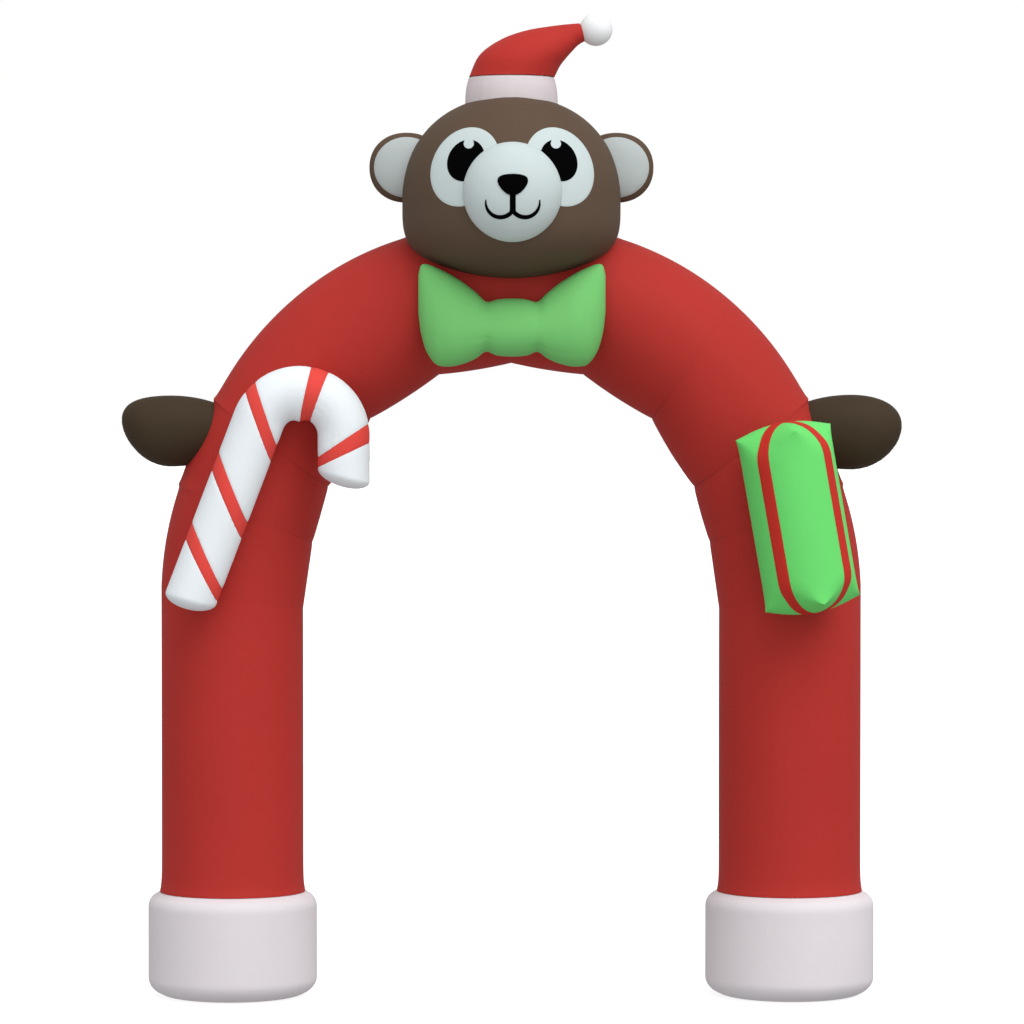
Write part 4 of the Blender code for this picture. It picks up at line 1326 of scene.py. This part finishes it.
CANE_TURN = circle(CANE_SIDES)
CANE_ACROSS = np.cos(CANE_TURN)


def cane_point(station, across):
    """Points (x, z) of the cane's middle plane, at distances along it and outward from its line."""
    turn = np.clip((station - CANE_SHAFT) / CANE_HOOK_RADIUS, 0, math.pi - CANE_LEAN)
    straight = np.minimum(station, CANE_SHAFT)
    rest = np.maximum(station - CANE_SHAFT - turn * CANE_HOOK_RADIUS, 0)
    x = CANE_FOOT[0] + math.sin(CANE_LEAN) * straight + CANE_HOOK_RADIUS * math.cos(CANE_LEAN)
    z = CANE_FOOT[2] + math.cos(CANE_LEAN) * straight - CANE_HOOK_RADIUS * math.sin(CANE_LEAN) - rest
    reach = CANE_HOOK_RADIUS + across
    return np.stack([x - reach * np.cos(CANE_LEAN + turn), z + reach * np.sin(CANE_LEAN + turn)], -1)


print("the cane is", round(CANE_LENGTH, 3), "m long without its domes")

# %% Straight seams across the cane
CUT_REACH = 0.02  # a seam is looked for this far beyond its ends
HALVINGS = 30


def cut_stations(outer, inner):
    """How far along the cane a straight seam lies, for each point of a ring."""
    start = cane_point(np.array(inner), -CANE_RADIUS)
    run = cane_point(np.array(outer), CANE_RADIUS) - start

    def beyond(station):
        offset = cane_point(station, CANE_RADIUS * CANE_ACROSS) - start
        return offset[..., 1] * run[0] - offset[..., 0] * run[1] > 0

    first = np.full(CANE_SIDES, min(outer, inner) - CUT_REACH)
    last = np.full(CANE_SIDES, max(outer, inner) + CUT_REACH)
    first_side = beyond(first)
    for _ in range(HALVINGS):
        centre = (first + last) / 2
        same = beyond(centre) == first_side
        first, last = np.where(same, centre, first), np.where(same, last, centre)
    return (first + last) / 2


first_stripe = cut_stations(STRIPES[0][0], STRIPES[0][2])
print("the lowest stripe starts", first_stripe.min().round(3), "to", first_stripe.max().round(3), "m up")

# %% Panels of the cane
left_tree = tree_of(*(tube["left", number] for number in (1, 2, 3, 4)))


def cane_rows(begin, end):
    """Rows of one panel from seam to seam; the first starts with a dome, and the last ends with one."""
    is_foot, is_tip = begin == NO_CUT, end == CANE_TIP
    slant = CANE_END_SLANT * CANE_ACROSS
    start = -CANE_FOOT_SLANT * CANE_ACROSS if is_foot else cut_stations(*begin) + SEWN_GAP
    finish = CANE_LENGTH + slant if is_tip else cut_stations(*end) - SEWN_GAP
    count = max(4, round((finish - start).max() / CANE_STEP))
    stations = [start + (finish - start) * share for share in evenly(0, 1, count, 0.6)]
    radii = [1.0] * count
    dome = [(math.cos(tilt), CANE_DOME * math.sin(tilt)) for tilt in np.radians(np.linspace(84, 6, 13))]
    if is_foot:
        stations = [start * share - out for share, out in dome] + stations
        radii = [share for share, _ in dome] + radii
    if is_tip:
        stations += [CANE_LENGTH + slant * share + out for share, out in dome[::-1]]
        radii += [share for share, _ in dome[::-1]]
    stations, radii = np.array(stations), np.array(radii)[:, None] * CANE_RADIUS
    seams = [seam for seam, is_end in ((start, is_foot), (finish, is_tip)) if not is_end]
    away = np.min([np.abs(stations - seam) for seam in seams], 0)
    drawn = puckered(CANE_TURN, away, "cane", 801 + round(begin[0] * 1000))
    radii = radii + drawn * (radii / CANE_RADIUS)
    thicker = CANE_THICKER[0] * np.exp(-(((stations - CANE_THICKER[1]) / CANE_THICKER[2]) ** 2))
    inner = np.clip(-CANE_ACROSS, 0, 1) ** 1.5
    flat = cane_point(stations, radii * CANE_ACROSS - thicker * inner)
    return np.insert(flat, 1, CANE_FOOT[1] + radii * np.sin(CANE_TURN), -1), away


NO_CUT = (0.0, 0.0)
cane_run = np.linspace(0, 2 * math.pi * CANE_RADIUS, CANE_SIDES + 1)
cuts = [NO_CUT, *(cut for a, b, c, d in STRIPES for cut in ((a, c), (b, d))), CANE_TIP]
for number, (begin, end) in enumerate(zip(cuts, cuts[1:])):
    kind, cloth = (("white", "cane_white"), ("stripe", "cane_red"))[number % 2]
    node = f"cane_{kind}_{number // 2 + 1}"
    rows, away = cane_rows(begin, end)
    chamber(node, cloth, press(rows, left_tree), cane_run, closed(away))

# %% [markdown]
# ## The gift
#
# A tall box of six flat cuts can't stay a box when air fills it: the faces swell until it is round at
# mid height, the ends rise, and the eight corners stay sharp. Points on the faces of a cube are moved
# by those rules, and then the air settles the cloth. The ribbon is a second layer on the same points.

# %% Sizes of the box
GIFT_PLACE = np.array([0.856, PLANE_Y - 0.325, 1.4733])
GIFT_HALF = np.array([0.1045, 0.1045, 0.261])
GIFT_TURN = Matrix.Rotation(math.radians(-9.9), 3, "Y") @ Matrix.Rotation(math.radians(-35.5), 3, "Z")
GIFT_GIRTH = 0.140  # radius at mid height
GIFT_TOP = 0.2890  # the middle of each end
GIFT_SEAM = (0.118, 0.2337)  # reach and height of the end seams at their middles
GIFT_SHOULDER = 0.064  # the sides draw in over this much height below the end seams
GIFT_DOME = 0.8  # an end falls off this much as a dome, and the rest as a flat cap with a round rim
GIFT_HELD = 2.93  # the corners, where the sum of the three places on the cube is above this
PINCH = (0.008, 0.006)  # how far the corners stand out, and up
PINCH_REACH = 0.022
RIBBON_FLAT = (0.039, 3.10)  # its width, and the length of both loops with what the end seams take up
RIBBON_SHARE = RIBBON_FLAT[0] / 2 / GIFT_HALF[0]
print("the ribbon takes", round(RIBBON_SHARE, 3), "of a side")

# %% Faces of a cube


def cube_faces(lines):
    """Corner positions of every small face of a cube cut along the lines, as (face, corner, axis)."""
    faces, sides = [], []
    for axis in range(3):
        first, second = lines[(axis + 1) % 3], lines[(axis + 2) % 3]
        grids = np.meshgrid(np.arange(len(first) - 1), np.arange(len(second) - 1))
        a, b = (grid.ravel() for grid in grids)
        for sign in (-1, 1):
            order = ((0, 0), (1, 0), (1, 1), (0, 1))[::sign]
            cell = np.empty((len(a), 4, 3))
            for corner, (i, j) in enumerate(order):
                cell[:, corner, axis] = sign
                cell[:, corner, (axis + 1) % 3] = first[a + i]
                cell[:, corner, (axis + 2) % 3] = second[b + j]
            faces.append(cell)
            sides.extend([axis] * len(a))
    return np.concatenate(faces), np.array(sides)


print("a cube cut in three each way has", len(cube_faces([np.linspace(-1, 1, 4)] * 3)[1]), "faces")

# %% Shape of the full box


def gift_shape(unit):
    """Where points of the cube lie on the swollen box, in its own directions."""
    x, y, z = unit.T
    height, level = np.abs(z), np.maximum(np.abs(x), np.abs(y))
    turn = np.arctan2(y, x)
    face_turn = np.round(turn / (math.pi / 2)) * (math.pi / 2)
    across = np.tan(turn - face_turn)
    aside = across * math.pi / 4

    corner_z = GIFT_HALF[2] - PINCH[1]
    seam_z = corner_z - (corner_z - GIFT_SEAM[1]) * (1 - across**2)
    below = np.clip(1 - (1 - height) * seam_z / GIFT_SHOULDER, 0, 1)
    face = GIFT_GIRTH * np.sqrt(1 - (1 - (GIFT_SEAM[0] / GIFT_GIRTH) ** 2) * below**2)
    corner = GIFT_GIRTH + (math.sqrt(2) * GIFT_HALF[0] - PINCH[0] - GIFT_GIRTH) * height**2
    power = 1 / np.log2(math.sqrt(2) * face / corner)
    radius = face / (np.cos(aside) ** power + np.abs(np.sin(aside)) ** power) ** (1 / power)

    on_end = height > 1 - 1e-6
    fall = GIFT_DOME * level**2 + (1 - GIFT_DOME) * level**5
    up = np.where(on_end, seam_z + (GIFT_TOP - seam_z) * (1 - fall), height * seam_z)
    near = np.exp(-np.linalg.norm((1 - np.abs(unit)) * GIFT_HALF, axis=1) / PINCH_REACH)
    radius = np.where(on_end, level, 1) * radius + PINCH[0] * near
    up = up + PINCH[1] * near
    turn = face_turn + aside
    return np.stack([radius * np.cos(turn), radius * np.sin(turn), np.sign(z) * up], -1)


print("the middle of a side lies", gift_shape(np.array([[1.0, 0, 0]]))[0, 0].round(3), "m out")

# %% Blow up the box
parts = ((-1, -RIBBON_SHARE, 14), (-RIBBON_SHARE, RIBBON_SHARE, 7), (RIBBON_SHARE, 1, 14))
side_lines = np.concatenate([np.linspace(*part, endpoint=False) for part in parts] + [[1.0]])
cells, cell_axis = cube_faces([side_lines, side_lines, np.linspace(-1, 1, 85)])
unit, index = np.unique(np.round(cells.reshape(-1, 3), 6), axis=0, return_inverse=True)
quads = index.reshape(-1, 4)
box_points = blown(gift_shape(unit), quads, np.abs(unit).sum(1) > GIFT_HELD)
right_tree = tree_of(*(tube["right", number] for number in (2, 3, 4)))
box_points = press(box_points @ np.array(GIFT_TURN).T + GIFT_PLACE, right_tree)
to_edge = (1 - np.abs(cells)) * GIFT_HALF
edge_away = np.maximum(to_edge[..., 2], to_edge[..., :2].min(-1))
edge_run = np.take_along_axis(cells * GIFT_HALF, np.abs(cells).argmin(-1)[..., None], -1)
sewn = np.concatenate([edge_run, edge_away[..., None]], -1)
gift = piece_of("gift_box_cloth", box_points.tolist(), quads.tolist(), sewn)
inflate(gift, "gift_box", "gift_green")

# %% Ribbon
near_x, near_y = (np.abs(cells.mean(1)[:, axis]) < RIBBON_SHARE for axis in (0, 1))
taken = np.where(cell_axis == 0, near_y, np.where(cell_axis == 1, near_x, near_x | near_y))
kept, strip = np.unique(quads[taken], return_inverse=True)
strip = strip.reshape(-1, 4)
rise = np.full((len(kept), 1), PANEL_THICKNESS)
rise[np.array(border_of(strip)).ravel()] = EDGE_THICKNESS
normals = read(gift.data, "normal")[kept]
under = box_points[kept] + normals * GAP
over = under + normals * rise
points = press(np.vstack([under, over]), right_tree).tolist()
ribbon = two_layers("gift_ribbon_cloth", points, strip, [(0.0, FAR)] * len(kept))
area = area_of(over, strip)
print("ribbon as long as", round(float(area) / RIBBON_FLAT[0], 3))
sew_on(ribbon, "gift_ribbon", "ribbon_red", area, RIBBON_FLAT)

# %% Count the triangles
print("triangles in all:", sum(TRIANGLES.values()))
